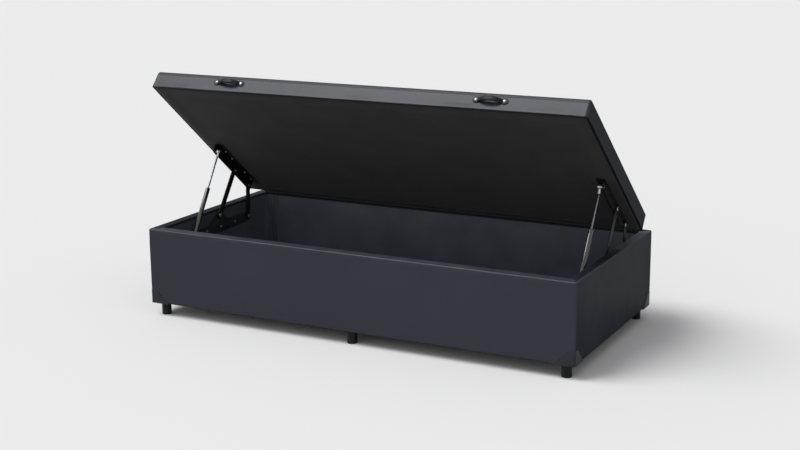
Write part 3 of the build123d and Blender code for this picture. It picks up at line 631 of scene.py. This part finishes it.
def lid_cover():
    """The rows run from the hem's cut edge, out and up, past the seam and over the top to its middle."""
    half_x, half_y = lid_length / 2, lid_width / 2
    full = (half_x, half_y)
    outer = loop(half_x, half_y, LID_CORNER)
    middle = Vector((0, -half_y, 0))
    rows = []

    def outer_row(inset, height, swell=0.0):
        rows.append([
            Vector((*(p - n * inset).xy, height)) + n * swell * lid_side_swell(p, s, d, height) + middle
            for p, n, s, d in outer
        ])

    for reach in (HEM, HEM * 0.6, HEM * 0.3, CLOTH_INSET - 0.5 * MM):
        row = []
        for p, n, s, d in loop(half_x - reach, half_y - reach, LID_CORNER, full):
            ripple = 0.12 * MM * (1 + wave((run_of(p, s), s, 0), 0.02, 14))
            row.append(Vector((*p.xy, HEM_SUNK + ripple)) + middle)
        rows.append(row)
    for fall, rise in quarter(LID_LOWER_EDGE):
        outer_row(fall, rise, 1)
    seam = lid_height - SEAM_DROP
    below = [LID_LOWER_EDGE + (seam - 2 * SEAM_HALF - LID_LOWER_EDGE) * (i / 11) ** 1.3 for i in range(1, 12)]
    around = [seam + SEAM_HALF * k / 2 for k in (-3, -2, -1, 0, 1, 2, 3)]
    for height in below + around:
        outer_row(0, height, 1)
    for fall, rise in quarter(LID_EDGE, EDGE_STEPS + 1):
        outer_row(rise, lid_height - fall)
    rings = 30
    for i in range(1, rings + 1):
        inset = LID_EDGE + (half_y - LID_EDGE) * i / rings
        rows.append([
            Vector((x, y, lid_height + lid_crown(x, y))) + middle
            for x, y in drawn_in(outer, half_x, half_y, LID_EDGE, inset)
        ])
    made = loft("lid_cover_leather", rows, lid_place)
    tidy_mesh(made)
    thicken(made, LEATHER, 50)
    back = lid_place.inverted()

    def wear(at):
        p = back @ at - middle
        edge_in, from_corner = behind_faces(p, half_x, half_y)
        top = wear_near(max(0, lid_height - p.z) + max(0, edge_in - LID_EDGE), 9 * MM)
        upright = wear_near(from_corner, 7 * MM)
        hem_edge = 0.8 * wear_near(p.z, 4 * MM) * wear_near(edge_in, 5 * MM)
        return max(0.5 * top, 0.37 * upright, hem_edge) * (0.6 + 0.4 * wave(at, 0.05, 15))

    def rubbed(at):
        """Painted shade: the lid's ends are a little darker, and the strip of hem that shows beside the
        underside's cloth is nearly black there."""
        inset = half_x - abs(at.x)
        if inset < 10 * MM and (back @ at).z < 2 * MM:
            return 0.7
        return 0.2 if inset < 4 * MM else 0.0

    mark(made, "wear", wear)
    mark(made, "rubbed", rubbed)
    finish_piece(made, "lid", "leather", leather, "lid_cover")
def lid_foam():
    """Foam sheet under the cover, with edges rounded by the pull of the cloth."""
    low = corners_in("lid_foam", lid_place)[0]
    gap = 0.3 * MM
    half_x, half_y = lid_length / 2 - LEATHER - gap, lid_width / 2 - LEATHER - gap
    outer = loop(half_x, half_y, LID_CORNER - LEATHER)
    middle = Vector((0, -lid_width / 2, 0))
    edge = LID_EDGE - LEATHER
    rows = []

    def ring(inset, height, crowned=False):
        if inset <= edge:
            places = [(p - n * inset).xy for p, n, s, d in outer]
        else:
            places = drawn_in(outer, half_x, half_y, edge, inset)
        rows.append([
            Vector((x, y, height + (lid_crown(x, y) if crowned else 0))) + middle for x, y in places
        ])

    top = lid_height - LEATHER - gap
    for inset in (half_y, half_y / 2, edge, 0.5 * MM):
        ring(inset, low.z)
    ring(0, low.z + 0.5 * MM)
    for fall, rise in quarter(edge):
        ring(rise, top - fall)
    rings = 14
    for i in range(1, rings + 1):
        ring(edge + (half_y - edge) * i / rings, top, True)
    made = loft("lid_foam_sheet", rows, lid_place)
    tidy_mesh(made)
    finish_piece(made, "lid", "foam", foam, "lid_foam")


lid_foam()
lid_cover()


# Lining of the box: one dark cloth down the walls, round below and over the floor

def lining_swell(place, side, from_corner, height, tall):
    """How far the lining stands off its wall: folds beside the corners, and slack between."""
    run = run_of(place, side)
    held_top = ease((tall - height) / (60 * MM))
    slack = 0.7 + 0.3 * ease((tall - height) / (0.5 * tall)) * ease((height + 40 * MM) / (90 * MM))
    swell = 0.0
    if side in (0, 2):
        for i, fold in enumerate(FOLD_PLACES):
            drift = 2.0 * MM * wave((height, side * 5.0, i), 0.16, 20)
            from_end = lining_high.x - abs(run)
            swell += FOLD_DEPTH * slack * math.exp(-(((from_end - fold + drift) / FOLD_WIDTH) ** 2))
        ripple = wave((run, 0, height * 0.25), 0.085, 21 + side)
        swell += 1.1 * MM * (0.6 + ripple) * held_top * ease((from_corner - 90 * MM) / (60 * MM))
    elif from_corner > LINING_CORNER:
        clear = ease(height / (40 * MM)) * ease((0.45 * tall - height) / (50 * MM))
        swell += 1.2 * MM * (0.6 + wave((run, 0, height * 0.3), 0.1, 25 + side)) * clear
    return max(0, swell)


def base_lining():
    half_x, half_y = lining_high.x - CLOTH, lining_high.y - CLOTH
    floor = lining_low.z + CLOTH
    tall = lining_high.z - floor
    walls = loop(half_x, half_y, LINING_CORNER - CLOTH)
    rows = []

    def wall_row(inset, height, folded=1):
        rows.append([
            Vector((*(p - n * (inset + lining_swell(p, s, d, height, tall) * folded)).xy, floor + height))
            for p, n, s, d in walls
        ])

    wall_rows = 24
    for i in range(wall_rows + 1):
        wall_row(0, tall - (tall - LINING_ROUND) * i / wall_rows)
    for i, (fall, rise) in list(enumerate(quarter(LINING_ROUND)))[1:-1]:
        wall_row(rise, fall, 1 - i / EDGE_STEPS)
    rings = 26
    for i in range(rings + 1):
        inset = LINING_ROUND + (half_y - LINING_ROUND) * i / rings
        rows.append([
            Vector((x, y, floor + 0.9 * MM * max(0, wave((x, y, 0), 0.11, 27)) * ease(i / 3)))
            for x, y in drawn_in(walls, half_x, half_y, LINING_ROUND, inset)
        ])
    made = loft("base_lining_cloth", rows)
    tidy_mesh(made)
    face_up(made)
    thicken(made, CLOTH, 60)
    finish_piece(made, "base", "lining", wall_lining, "base_lining")


def face_up(made):
    """Turn an open tray's faces to look inwards and up."""
    shape = bmesh.new()
    shape.from_mesh(made.data)
    if sum(f.normal.z * f.calc_area() for f in shape.faces if abs(f.normal.z) > 0.9) < 0:
        bmesh.ops.reverse_faces(shape, faces=shape.faces)
    shape.to_mesh(made.data)
    shape.free()


base_lining()


# Flat cloths, stapled all round: one under the lid, one below the base

def stretched_cloth(node_name, body, half_x, half_y, height_of, place=Matrix()):
    """A cloth with a regular weave of points that looks down and hangs a little between its edges."""
    columns, lines = 150, 72
    points = []
    for j in range(lines + 1):
        y = half_y * (2 * j / lines - 1)
        for i in range(columns + 1):
            x = half_x * (2 * i / columns - 1)
            points.append(Vector((x, y, height_of(x, y))))
    wide = columns + 1
    faces = []
    for j in range(lines):
        for i in range(columns):
            corner = j * wide + i
            faces.append((corner + wide, corner + wide + 1, corner + 1, corner))
    made = thicken(put(node_name + "_sheet", points, faces, place), CLOTH)
    finish_piece(made, body, "lining", lid_lining, node_name)


def edge_pull(x, y, half_x, half_y, seed):
    """Small ripples that run in from the staples."""
    from_x, from_y = half_x - abs(x), half_y - abs(y)
    run = y if from_x < from_y else x
    return 0.6 * MM * wave((run, 0, 0), 0.018, seed) * (1 - ease((min(from_x, from_y) - HEM) / (60 * MM)))


def underside_cloth():
    half_x, half_y = lid_length / 2 - CLOTH_INSET, lid_width / 2 - CLOTH_INSET
    free_x = abs(corners_in("left_lid_bracket", lid_place)[1].x)
    flat_y = lid_width / 2 - 60 * MM

    def height(x, y):
        across = max(0, 1 - (x / free_x) ** 8)
        deep = max(0, 1 - (y / flat_y) ** 2)
        sag = UNDERSIDE_SAG * across * deep
        slack = 0.9 * MM * wave((x, y * 0.5, 0), 0.22, 31) * across * deep
        from_edge = min(lid_length / 2 - abs(x), lid_width / 2 - abs(y))
        over_hem = (LEATHER + CLOTH_PROUD) * (1 - ease((from_edge - HEM - 1 * MM) / (7 * MM)))
        pulled = edge_pull(x, y, half_x, half_y, 32) if abs(x) < free_x or from_edge < HEM else 0
        return LEATHER - over_hem - sag - abs(slack) - 0.5 * abs(pulled)

    stretched_cloth("lid_underside_cloth", "lid", half_x, half_y, height, lid_middle)


def dust_cloth():
    half_x, half_y = half_length - DUST_INSET, half_width - DUST_INSET

    def height(x, y):
        across = max(0, 1 - (x / (half_x - HEM)) ** 6)
        deep = max(0, 1 - (y / (half_y - HEM)) ** 2)
        sag = DUST_SAG * across * deep * (0.8 + 0.2 * wave((x, y, 0), 0.3, 34))
        return dust_low.z - sag + min(0, edge_pull(x, y, half_x, half_y, 35))

    stretched_cloth("dust_cloth", "base", half_x, half_y, height)


underside_cloth()
dust_cloth()


# Steel and plastic pieces: the CAD's own shapes with their edges broken as on the real ones

def softened(node_name, width, body, slot, material):
    """A merged copy of a CAD node with its sharp edges rounded."""
    made = linked(node_name + "_finished", frame["nodes"][node_name].data.copy())
    shape = bmesh.new()
    shape.from_mesh(made.data)
    bmesh.ops.remove_doubles(shape, verts=shape.verts, dist=SAME_POINT)
    bmesh.ops.dissolve_limit(shape, angle_limit=math.radians(0.5), verts=shape.verts, edges=shape.edges)
    shape.to_mesh(made.data)
    shape.free()
    rounding = made.modifiers.new("Broken edges", "BEVEL")
    rounding.width = width
    rounding.segments = 2
    rounding.limit_method = "ANGLE"
    rounding.angle_limit = math.radians(35)
    settled(made)
    shade(made.data, 32)
    finish_piece(made, body, slot, material, node_name)


SOFTENED = (
    (("left_hinge_plate", "right_hinge_plate"), 0.5 * MM, "base", "black_steel", steel_with_painted_light),
    (("left_front_arm", "right_front_arm"), 0.5 * MM, "front_arms", "black_steel", black_steel),
    (("left_rear_arm", "right_rear_arm"), 0.5 * MM, "rear_arms", "black_steel", black_steel),
    (("left_lid_bracket", "right_lid_bracket"), 0.4 * MM, "lid", "black_steel", black_steel),
    (("rear_arm_rivets",), 0.9 * MM, "rear_arms", "zinc_steel", zinc),
    (("base_pivots", "strut_foot_studs"), 1.2 * MM, "base", "zinc_steel", zinc),
    (("lid_pivots", "bracket_studs"), 0.9 * MM, "lid", "zinc_steel", zinc),
    (("strut_top_pins", "strut_top_eyes"), 0.9 * MM, "strut_rods", "zinc_steel", zinc),
    (("strut_foot_eyes",), 0.8 * MM, "strut_tubes", "strut_enamel", gloss_enamel),
    (("left_strut_tube", "right_strut_tube"), 0.5 * MM, "strut_tubes", "strut_enamel", gloss_enamel),
    (("left_strut_rod", "right_strut_rod"), 0.3 * MM, "strut_rods", "strut_chrome", rod_chrome),
    (("base_washers",), 0.3 * MM, "base", "nylon", nylon),
    (("lid_washers",), 0.3 * MM, "lid", "nylon", nylon),
    (("corner_guards",), 0.5 * MM, "base", "black_plastic", guard_plastic),
)
for names, width, body, slot, material in SOFTENED:
    for name in names:
        softened(name, width, body, slot, material)


# Round pieces turned from a profile

def turned(name, profile, place, segments=56, smooth=30):
    """A closed round piece from its (radius, height) profile, placed with its axis along the place's Z."""
    turns = [2 * math.pi * i / segments for i in range(segments)]
    rows = [[Vector((r * math.cos(turn), r * math.sin(turn), z)) for turn in turns] for r, z in profile]
    made = loft(name, rows, place, smooth)
    tidy_mesh(made, 0.01 * MM)
    shade(made.data, smooth)
    return made


def rounded_profile(corners):
    """A profile's corners, each (radius, height, rounding), with the roundings drawn as short arcs."""
    outline = []
    for i, (radius, height, rounding) in enumerate(corners):
        here = Vector((radius, height))
        if not rounding:
            outline.append((radius, height))
            continue
        before = (Vector(corners[i - 1][:2]) - here).normalized()
        after = (Vector(corners[i + 1][:2]) - here).normalized()
        start, end = here + before * rounding, here + after * rounding
        for k in range(5):
            share = k / 4
            bend = start.lerp(here, share).lerp(here.lerp(end, share), share)
            outline.append((bend.x, bend.y))
    return outline


FOOT_NAMES = [f"{row}_{place}_foot" for row in ("front", "rear") for place in ("left", "middle", "right")]
for name in FOOT_NAMES:
    low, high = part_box(name)
    wide = (high.x - low.x) / 2
    collar_top = base_bottom - 2 * MM
    collar = 6 * MM
    stem = wide - 2 * MM
    profile = rounded_profile([
        (0, 0, 0), (stem - 1.0 * MM, 0, 0), (stem, 1.6 * MM, 0.7 * MM),
        (stem - 0.6 * MM, collar_top - collar - 2 * MM, 1.5 * MM), (stem, collar_top - collar, 0.6 * MM),
        (wide, collar_top - collar + 1 * MM, 0.6 * MM), (wide, collar_top, 0.8 * MM),
        (4 * MM, collar_top, 0), (4 * MM, high.z - 1 * MM, 0), (3 * MM, high.z, 0), (0, high.z, 0),
    ])
    centre = (low + high) / 2
    foot = turned(name + "_moulded", profile, Matrix.Translation((centre.x, centre.y, 0)))
    finish_piece(foot, "base", "black_plastic", black_plastic, name)


# Handles: a bowed grip with a round pad at each end, and a bright cap on each pad

caps_low, caps_high = corners_in("handle_caps", lid_place)
handle_z = (caps_low.z + caps_high.z) / 2
front_face = Matrix(((1, 0, 0, 0), (0, 0, -1, -lid_width), (0, 1, 0, 0), (0, 0, 0, 1)))


def grip_section(u):
    """Distance out, width and thickness of the grip at a place along it."""
    lift = HANDLE_PITCH / 2 - CAP_RADIUS - 0.3 * MM
    inside = max(0, 1 - (abs(u) / lift) ** 2.7)
    out = PAD_THICKNESS / 2 + (HANDLE_REACH - HANDLE_BAND / 2 - PAD_THICKNESS / 2) * inside
    band = PAD_THICKNESS + (HANDLE_BAND - PAD_THICKNESS) * ease(inside * 2)
    from_pad = abs(abs(u) - HANDLE_PITCH / 2)
    pad = math.sqrt(max(0, PAD_RADIUS ** 2 - from_pad ** 2))
    grip = HANDLE_WIDTH / 2 - 1.2 * MM * math.sin(math.pi * inside)
    wide = pad if abs(u) > HANDLE_PITCH / 2 else max(pad, grip)
    return out, max(wide, 1 * MM), band


def handle(name, node_name):
    """A grip on its pads. Gives the place of its middle along the lid."""
    low, high = corners_in(node_name, lid_place)
    centre = (low.x + high.x) / 2
    reach = HANDLE_PITCH / 2 + PAD_RADIUS
    stations, around = 96, 20
    step = 0.2 * MM
    rows = []
    for i in range(stations + 1):
        u = -reach * math.cos(math.pi * i / stations)
        out, wide, band = grip_section(u)
        slope = (grip_section(min(reach, u + step))[0] - grip_section(max(-reach, u - step))[0]) / (2 * step)
        tangent = Vector((1, slope)).normalized()
        row = []
        for k in range(around):
            angle = 2 * math.pi * k / around
            c, s = math.cos(angle), math.sin(angle)
            across = wide * math.copysign(abs(c) ** 0.45, c)
            deep = band / 2 * math.copysign(abs(s) ** 0.6, s)
            row.append(Vector((centre + u - tangent.y * deep, handle_z + across, out + tangent.x * deep)))
        rows.append(row)
    made = loft(name, rows, lid_place @ front_face, 50, ends=True)
    tidy_mesh(made)
    finish_piece(made, "lid", "black_plastic", black_plastic, node_name)
    return centre


handle_centres = [handle(name + "_grip", name) for name in ("left_handle", "right_handle")]

cap_profile = rounded_profile([
    (0, PAD_THICKNESS, 0), (CAP_RADIUS - 0.6 * MM, PAD_THICKNESS, 0),
    (CAP_RADIUS, PAD_THICKNESS + 0.8 * MM, 0.4 * MM),
    (CAP_RADIUS, PAD_THICKNESS + 2.4 * MM, 0.9 * MM),
    (CAP_RADIUS * 0.80, PAD_THICKNESS + CAP_HEIGHT * 0.72, 1.6 * MM),
    (CAP_RADIUS * 0.42, PAD_THICKNESS + CAP_HEIGHT * 0.95, 1.6 * MM), (0, PAD_THICKNESS + CAP_HEIGHT, 0),
])
caps = []
for centre in handle_centres:
    for side in (-1, 1):
        place = lid_place @ front_face @ Matrix.Translation((centre + side * HANDLE_PITCH / 2, handle_z, 0))
        caps.append(turned("cap", cap_profile, place, 48, 40))


def joined(name, parts):
    """One mesh from several."""
    shape = bmesh.new()
    for part in parts:
        shape.from_mesh(part.data)
        bpy.data.objects.remove(part)
    mesh = bpy.data.meshes.new(name)
    shape.to_mesh(mesh)
    shape.free()
    shade(mesh, 40)
    return linked(name, mesh)


finish_piece(joined("handle_caps_domed", caps), "lid", "chrome", chrome, "handle_caps")


# Screws, staples and stitches: one small form each, repeated on points by a node tree

def repeat(name, form, places, body, slot, material, stands_for=()):
    """Copies of a form on points, each with its Z along 'out' and its X along 'along', as one mesh."""
    mesh = bpy.data.meshes.new(name)
    mesh.from_pydata([tuple(p) for p, _, _ in places], [], [])
    for key, index in (("out", 1), ("along", 2)):
        layer = mesh.attributes.new(key, "FLOAT_VECTOR", "POINT")
        layer.data.foreach_set("vector", [c for row in places for c in row[index]])
    made = linked(name, mesh)
    tree = bpy.data.node_groups.new(name, "GeometryNodeTree")
    inputs = {"Points": "Geometry", "Form": "Object", "Size": "Float", "Finish": "Material"}
    for title, kind in inputs.items():
        tree.interface.new_socket(title, in_out="INPUT", socket_type="NodeSocket" + kind)
    tree.interface.new_socket("Pieces", in_out="OUTPUT", socket_type="NodeSocketGeometry")
    given = add(tree, "NodeGroupInput", out=None)
    copied = add(tree, "GeometryNodeObjectInfo", {"Object": given["Form"]}, "Geometry")
    out, along = [
        add(tree, "GeometryNodeInputNamedAttribute", {"Name": key}, data_type="FLOAT_VECTOR")
        for key in ("out", "along")
    ]
    raised = add(tree, "FunctionNodeAlignRotationToVector", {"Vector": out}, axis="Z")
    facing = {"Vector": along, "Rotation": raised}
    turn = add(tree, "FunctionNodeAlignRotationToVector", facing, axis="X", pivot_axis="Z")
    copies = add(tree, "GeometryNodeInstanceOnPoints", {
        "Points": given["Points"], "Instance": copied, "Rotation": turn, "Scale": given["Size"],
    })
    real = add(tree, "GeometryNodeRealizeInstances", {"Geometry": copies})
    painted = add(tree, "GeometryNodeSetMaterial", {"Geometry": real, "Material": given["Finish"]})
    add(tree, "NodeGroupOutput", {"Pieces": painted}, None)
    modifier = made.modifiers.new("Repeat", "NODES")
    modifier.node_group = tree
    for item in tree.interface.items_tree:
        if item.in_out == "INPUT" and item.name != "Points":
            modifier[item.identifier] = {"Form": form, "Size": 1.0, "Finish": material}[item.name]
    settled(made)
    finish_piece(made, body, slot, material, *stands_for)


SCREW_HEAD = 5.5 * MM
SCREW_HEAD_HEIGHT = 2.5 * MM
SCREW_SHANK = 2.5 * MM
SCREW_LENGTH = 30 * MM


def screw_form():
    """A pan head with a round recess, on its shank. The seat of the head is at zero."""
    head, rise, shank, tip = SCREW_HEAD, SCREW_HEAD_HEIGHT, SCREW_SHANK, -SCREW_LENGTH
    profile = rounded_profile([
        (0, tip, 0), (shank * 0.3, tip, 0), (shank, tip + 3 * MM, 0), (shank, 0, 0),
        (head * 0.94, 0, 0), (head, rise * 0.35, 0.5 * MM), (head * 0.72, rise, 1.2 * MM),
        (head * 0.32, rise * 1.04, 0), (head * 0.26, rise * 0.6, 0), (0, rise * 0.4, 0),
    ])
    return turned("screw_form", profile, Matrix(), 24, 40)


def islands(node_name, place=Matrix()):
    """The boxes of the separate solids of a CAD node, in a turned frame."""
    back = place.inverted()
    shape = bmesh.new()
    shape.from_mesh(frame["nodes"][node_name].data)
    bmesh.ops.remove_doubles(shape, verts=shape.verts, dist=SAME_POINT)
    left = set(shape.verts)
    boxes = []
    while left:
        stack = [left.pop()]
        found = []
        while stack:
            vert = stack.pop()
            found.append(back @ vert.co)
            for edge in vert.link_edges:
                other = edge.other_vert(vert)
                if other in left:
                    left.remove(other)
                    stack.append(other)
        boxes.append(box_of(found))
    shape.free()
    return sorted(boxes, key=lambda box: tuple(round(c, 4) for c in box[0]))


screw = screw_form()
plate_places = []
for i, (low, high) in enumerate(islands("hinge_plate_screws")):
    side = 1 if low.x > 0 else -1
    inner = low.x if side > 0 else high.x
    seat = Vector((inner + side * SCREW_HEAD_HEIGHT, (low.y + high.y) / 2, (low.z + high.z) / 2))
    angle = 0.7 * i
    plate_places.append((seat, (-side, 0, 0), (0, math.cos(angle), math.sin(angle))))
repeat("hinge_plate_screws_driven", screw, plate_places, "base", "zinc_steel", zinc, ("hinge_plate_screws",))

lid_down = lid_place.to_3x3() @ Vector((0, 0, -1))
bracket_places = []
for i, (low, high) in enumerate(islands("lid_bracket_screws", lid_place)):
    seat = lid_place @ Vector(((low.x + high.x) / 2, (low.y + high.y) / 2, low.z + SCREW_HEAD_HEIGHT))
    along = lid_place.to_3x3() @ Vector((math.cos(1.1 * i), math.sin(1.1 * i), 0))
    bracket_places.append((seat, lid_down, along))
repeat("lid_bracket_screws_driven", screw, bracket_places, "lid", "zinc_steel", zinc, ("lid_bracket_screws",))


def staple_form():
    """A staple's back, a small bar that lies along X and is a little narrower at its top."""
    half_long, half_wide = 5.0 * MM, 0.6 * MM
    points = []
    for z, inset in ((-0.8 * MM, 0.0), (0.45 * MM, 0.35)):
        for sx, sy in ((-1, -1), (1, -1), (1, 1), (-1, 1)):
            points.append(Vector((sx * half_long * (1 - 0.06 * inset), sy * half_wide * (1 - inset), z)))
    faces = [(3, 2, 1, 0), (4, 5, 6, 7)] + [(i, (i + 1) % 4, 4 + (i + 1) % 4, 4 + i) for i in range(4)]
    return put("staple_form", points, faces, smooth=20)


staple = staple_form()


def staple_row(half_x, half_y, height, place):
    """Staples along the four edges of a hem, each looking down and a little askew."""
    rows = []
    for sx, sy, reach, along in (
        (0, -1, half_x, Vector((1, 0, 0))), (0, 1, half_x, Vector((1, 0, 0))),
        (-1, 0, half_y, Vector((0, 1, 0))), (1, 0, half_y, Vector((0, 1, 0))),
    ):
        span = reach - HEM
        count = int(2 * span / STAPLE_PITCH)
        for i in range(count + 1):
            run = span * (2 * i / count - 1)
            askew = 0.25 * wave((run, sx * 2.0, sy * 3.0), 0.02, 40)
            x = run if sy else sx * (half_x - STAPLE_INSET)
            y = run if sx else sy * (half_y - STAPLE_INSET)
            x += 0 if sy else 2 * MM * askew
            y += 0 if sx else 2 * MM * askew
            facing = place.to_3x3()
            askew_along = Matrix.Rotation(askew, 3, "Z") @ along
            rows.append((place @ Vector((x, y, height)), facing @ Vector((0, 0, -1)), facing @ askew_along))
    return rows


lid_staples = staple_row(lid_length / 2, lid_width / 2, -0.1 * MM, lid_middle)
repeat("lid_hem_staples", staple, lid_staples, "lid", "black_steel", black_steel)
base_staples = staple_row(half_length, half_width, base_bottom + 0.1 * MM, Matrix())
repeat("base_hem_staples", staple, base_staples, "base", "black_steel", black_steel)


def stitch_form():
    """One sewn stitch, a short tight loop of thread that dips at both ends."""
    rows = []
    steps, around = 6, 6
    turns = [-2 * math.pi * k / around for k in range(around)]
    for i in range(steps + 1):
        share = i / steps
        x = STITCH_LENGTH * (share - 0.5)
        lift = STITCH_RADIUS * (2.2 * math.sin(math.pi * share) - 0.9)
        fat = STITCH_RADIUS * (0.7 + 0.3 * math.sin(math.pi * share))
        rows.append([Vector((x, fat * math.cos(turn), lift + fat * math.sin(turn))) for turn in turns])
    return loft("stitch_form", rows, smooth=60, ends=True)


stitch = stitch_form()


def seam_stitches():
    """Stitches just above the seam that joins the lid's top to its sides."""
    height = lid_height - SEAM_DROP + 2.2 * SEAM_HALF
    places = []
    turn = lid_middle.to_3x3()
    for side, along, out, reach, across in sides_of(lid_length / 2, lid_width / 2):
        span = 2 * (reach - LID_CORNER)
        count = int(span / STITCH_PITCH)
        for i in range(count + 1):
            run = span * (i / count - 0.5)
            flat = along * run + out * across
            proud = lid_side_swell(flat, side, reach - abs(run), height)
            places.append((
                lid_middle @ (flat + out * proud + Vector((0, 0, height))), turn @ out, turn @ along,
            ))
    repeat("lid_seam_stitches", stitch, places, "lid", "leather", thread)


seam_stitches()
for form in (screw, staple, stitch):
    bpy.data.objects.remove(form)


# Pieces of the CAD that stay as they are, with their materials

KEPT = (
    (("front_board", "rear_board", "left_board", "right_board", "floor_panel", "lid_board"), hardboard),
    (("front_top_rail", "rear_top_rail", "bottom_rails", "lid_front_rail", "lid_rear_rail"), pine_long),
    (("left_top_rail", "right_top_rail", "lid_left_rail", "lid_right_rail", "lid_crossbars", "wall_posts",
      "floor_bearers"), pine_cross),
    (("foot_plates", "handle_screws"), zinc),
)
for names, material in KEPT:
    for name in names:
        kept = frame["nodes"][name]
        kept.data.materials.clear()
        kept.data.materials.append(material)


# Floor, light and camera

PALE = colour("#ebebeb")
DIM = colour("#989898")
FLOOR_REACH = 40.0
SKY = 0.47
LAMP = 0.50
LAMP_ANGLE = 35
SKY_FROM = Vector((-0.28, -0.92, 0.20)).normalized()
KEY_FROM = Vector((-0.44, -0.33, 0.83)).normalized()


def background_ray(tree):
    """1 where the camera, a mirror or glass looks at the backdrop, 0 for the light that it throws back."""
    ray = add(tree, "LightPath", out=None)
    seen = add(tree, "Math", {0: ray["Is Camera Ray"], 1: ray["Is Glossy Ray"]}, operation="MAXIMUM")
    return add(tree, "Math", {0: seen, 1: ray["Is Transmission Ray"]}, operation="MAXIMUM")


def pale_floor():
    far = FLOOR_REACH
    floor = put("floor", [(-far, -far, 0), (far, -far, 0), (far, far, 0), (-far, far, 0)], [(0, 1, 2, 3)])
    made, tree, _ = begin("pale_floor", Roughness=0.9, Specular_IOR_Level=0.0)
    shown = add(tree, "Mix", {0: background_ray(tree), 6: DIM, 7: PALE}, 2, data_type="RGBA")
    floor.data.materials.append(wired(made, Base_Color=shown))


def studio_sky():
    """A plain soft sky. The camera and mirrors see the pale backdrop in it."""
    world = bpy.data.worlds.new("studio")
    bpy.context.scene.world = world
    world.use_nodes = True
    tree = world.node_tree
    tree.nodes.clear()
    look = add(tree, "TexCoord", out="Generated")
    facing = add(tree, "VectorMath", {0: look, 1: SKY_FROM}, "Value", operation="DOT_PRODUCT")
    soft = add(tree, "MapRange", {0: facing, 1: -1.0, 2: 1.0, 4: 2.0 * SKY})
    light = add(tree, "Background", {"Color": colour("#f9f9fb"), "Strength": soft})
    backdrop = add(tree, "Background", {"Color": PALE, "Strength": 1.0})
    both = add(tree, "MixShader", {0: background_ray(tree), 1: light, 2: backdrop})
    add(tree, "OutputWorld", {"Surface": both}, None)


def key_lamp():
    """A broad lamp far off, so that the whole floor is lit alike."""
    lamp = bpy.data.lights.new("key_lamp", "SUN")
    lamp.energy = LAMP * math.pi / KEY_FROM.z
    lamp.angle = math.radians(LAMP_ANGLE)
    made = linked("key_lamp", lamp)
    made.rotation_mode = "QUATERNION"
    made.rotation_quaternion = KEY_FROM.to_track_quat("Z", "Y")


pale_floor()
studio_sky()
key_lamp()

CAMERA_PLACE = (2.6004, -5.0028, 1.7383)
CAMERA_YAW = math.radians(27.4)
CAMERA_PITCH = math.radians(13.454)
CAMERA_ROLL = math.radians(-0.397)
CAMERA_LENS = 63.38


def photo_camera():
    lens = bpy.data.cameras.new("camera")
    lens.sensor_width = 36
    lens.lens = CAMERA_LENS
    lens.clip_end = 200
    made = linked("camera", lens)
    turned_by = Matrix.Rotation(CAMERA_YAW, 4, "Z")
    turned_by @= Matrix.Rotation(math.pi / 2 - CAMERA_PITCH, 4, "X") @ Matrix.Rotation(CAMERA_ROLL, 4, "Z")
    made.matrix_world = Matrix.Translation(CAMERA_PLACE) @ turned_by
    bpy.context.scene.camera = made


photo_camera()
bpy.context.scene.view_settings.view_transform = "Standard"
bpy.context.view_layer.update()
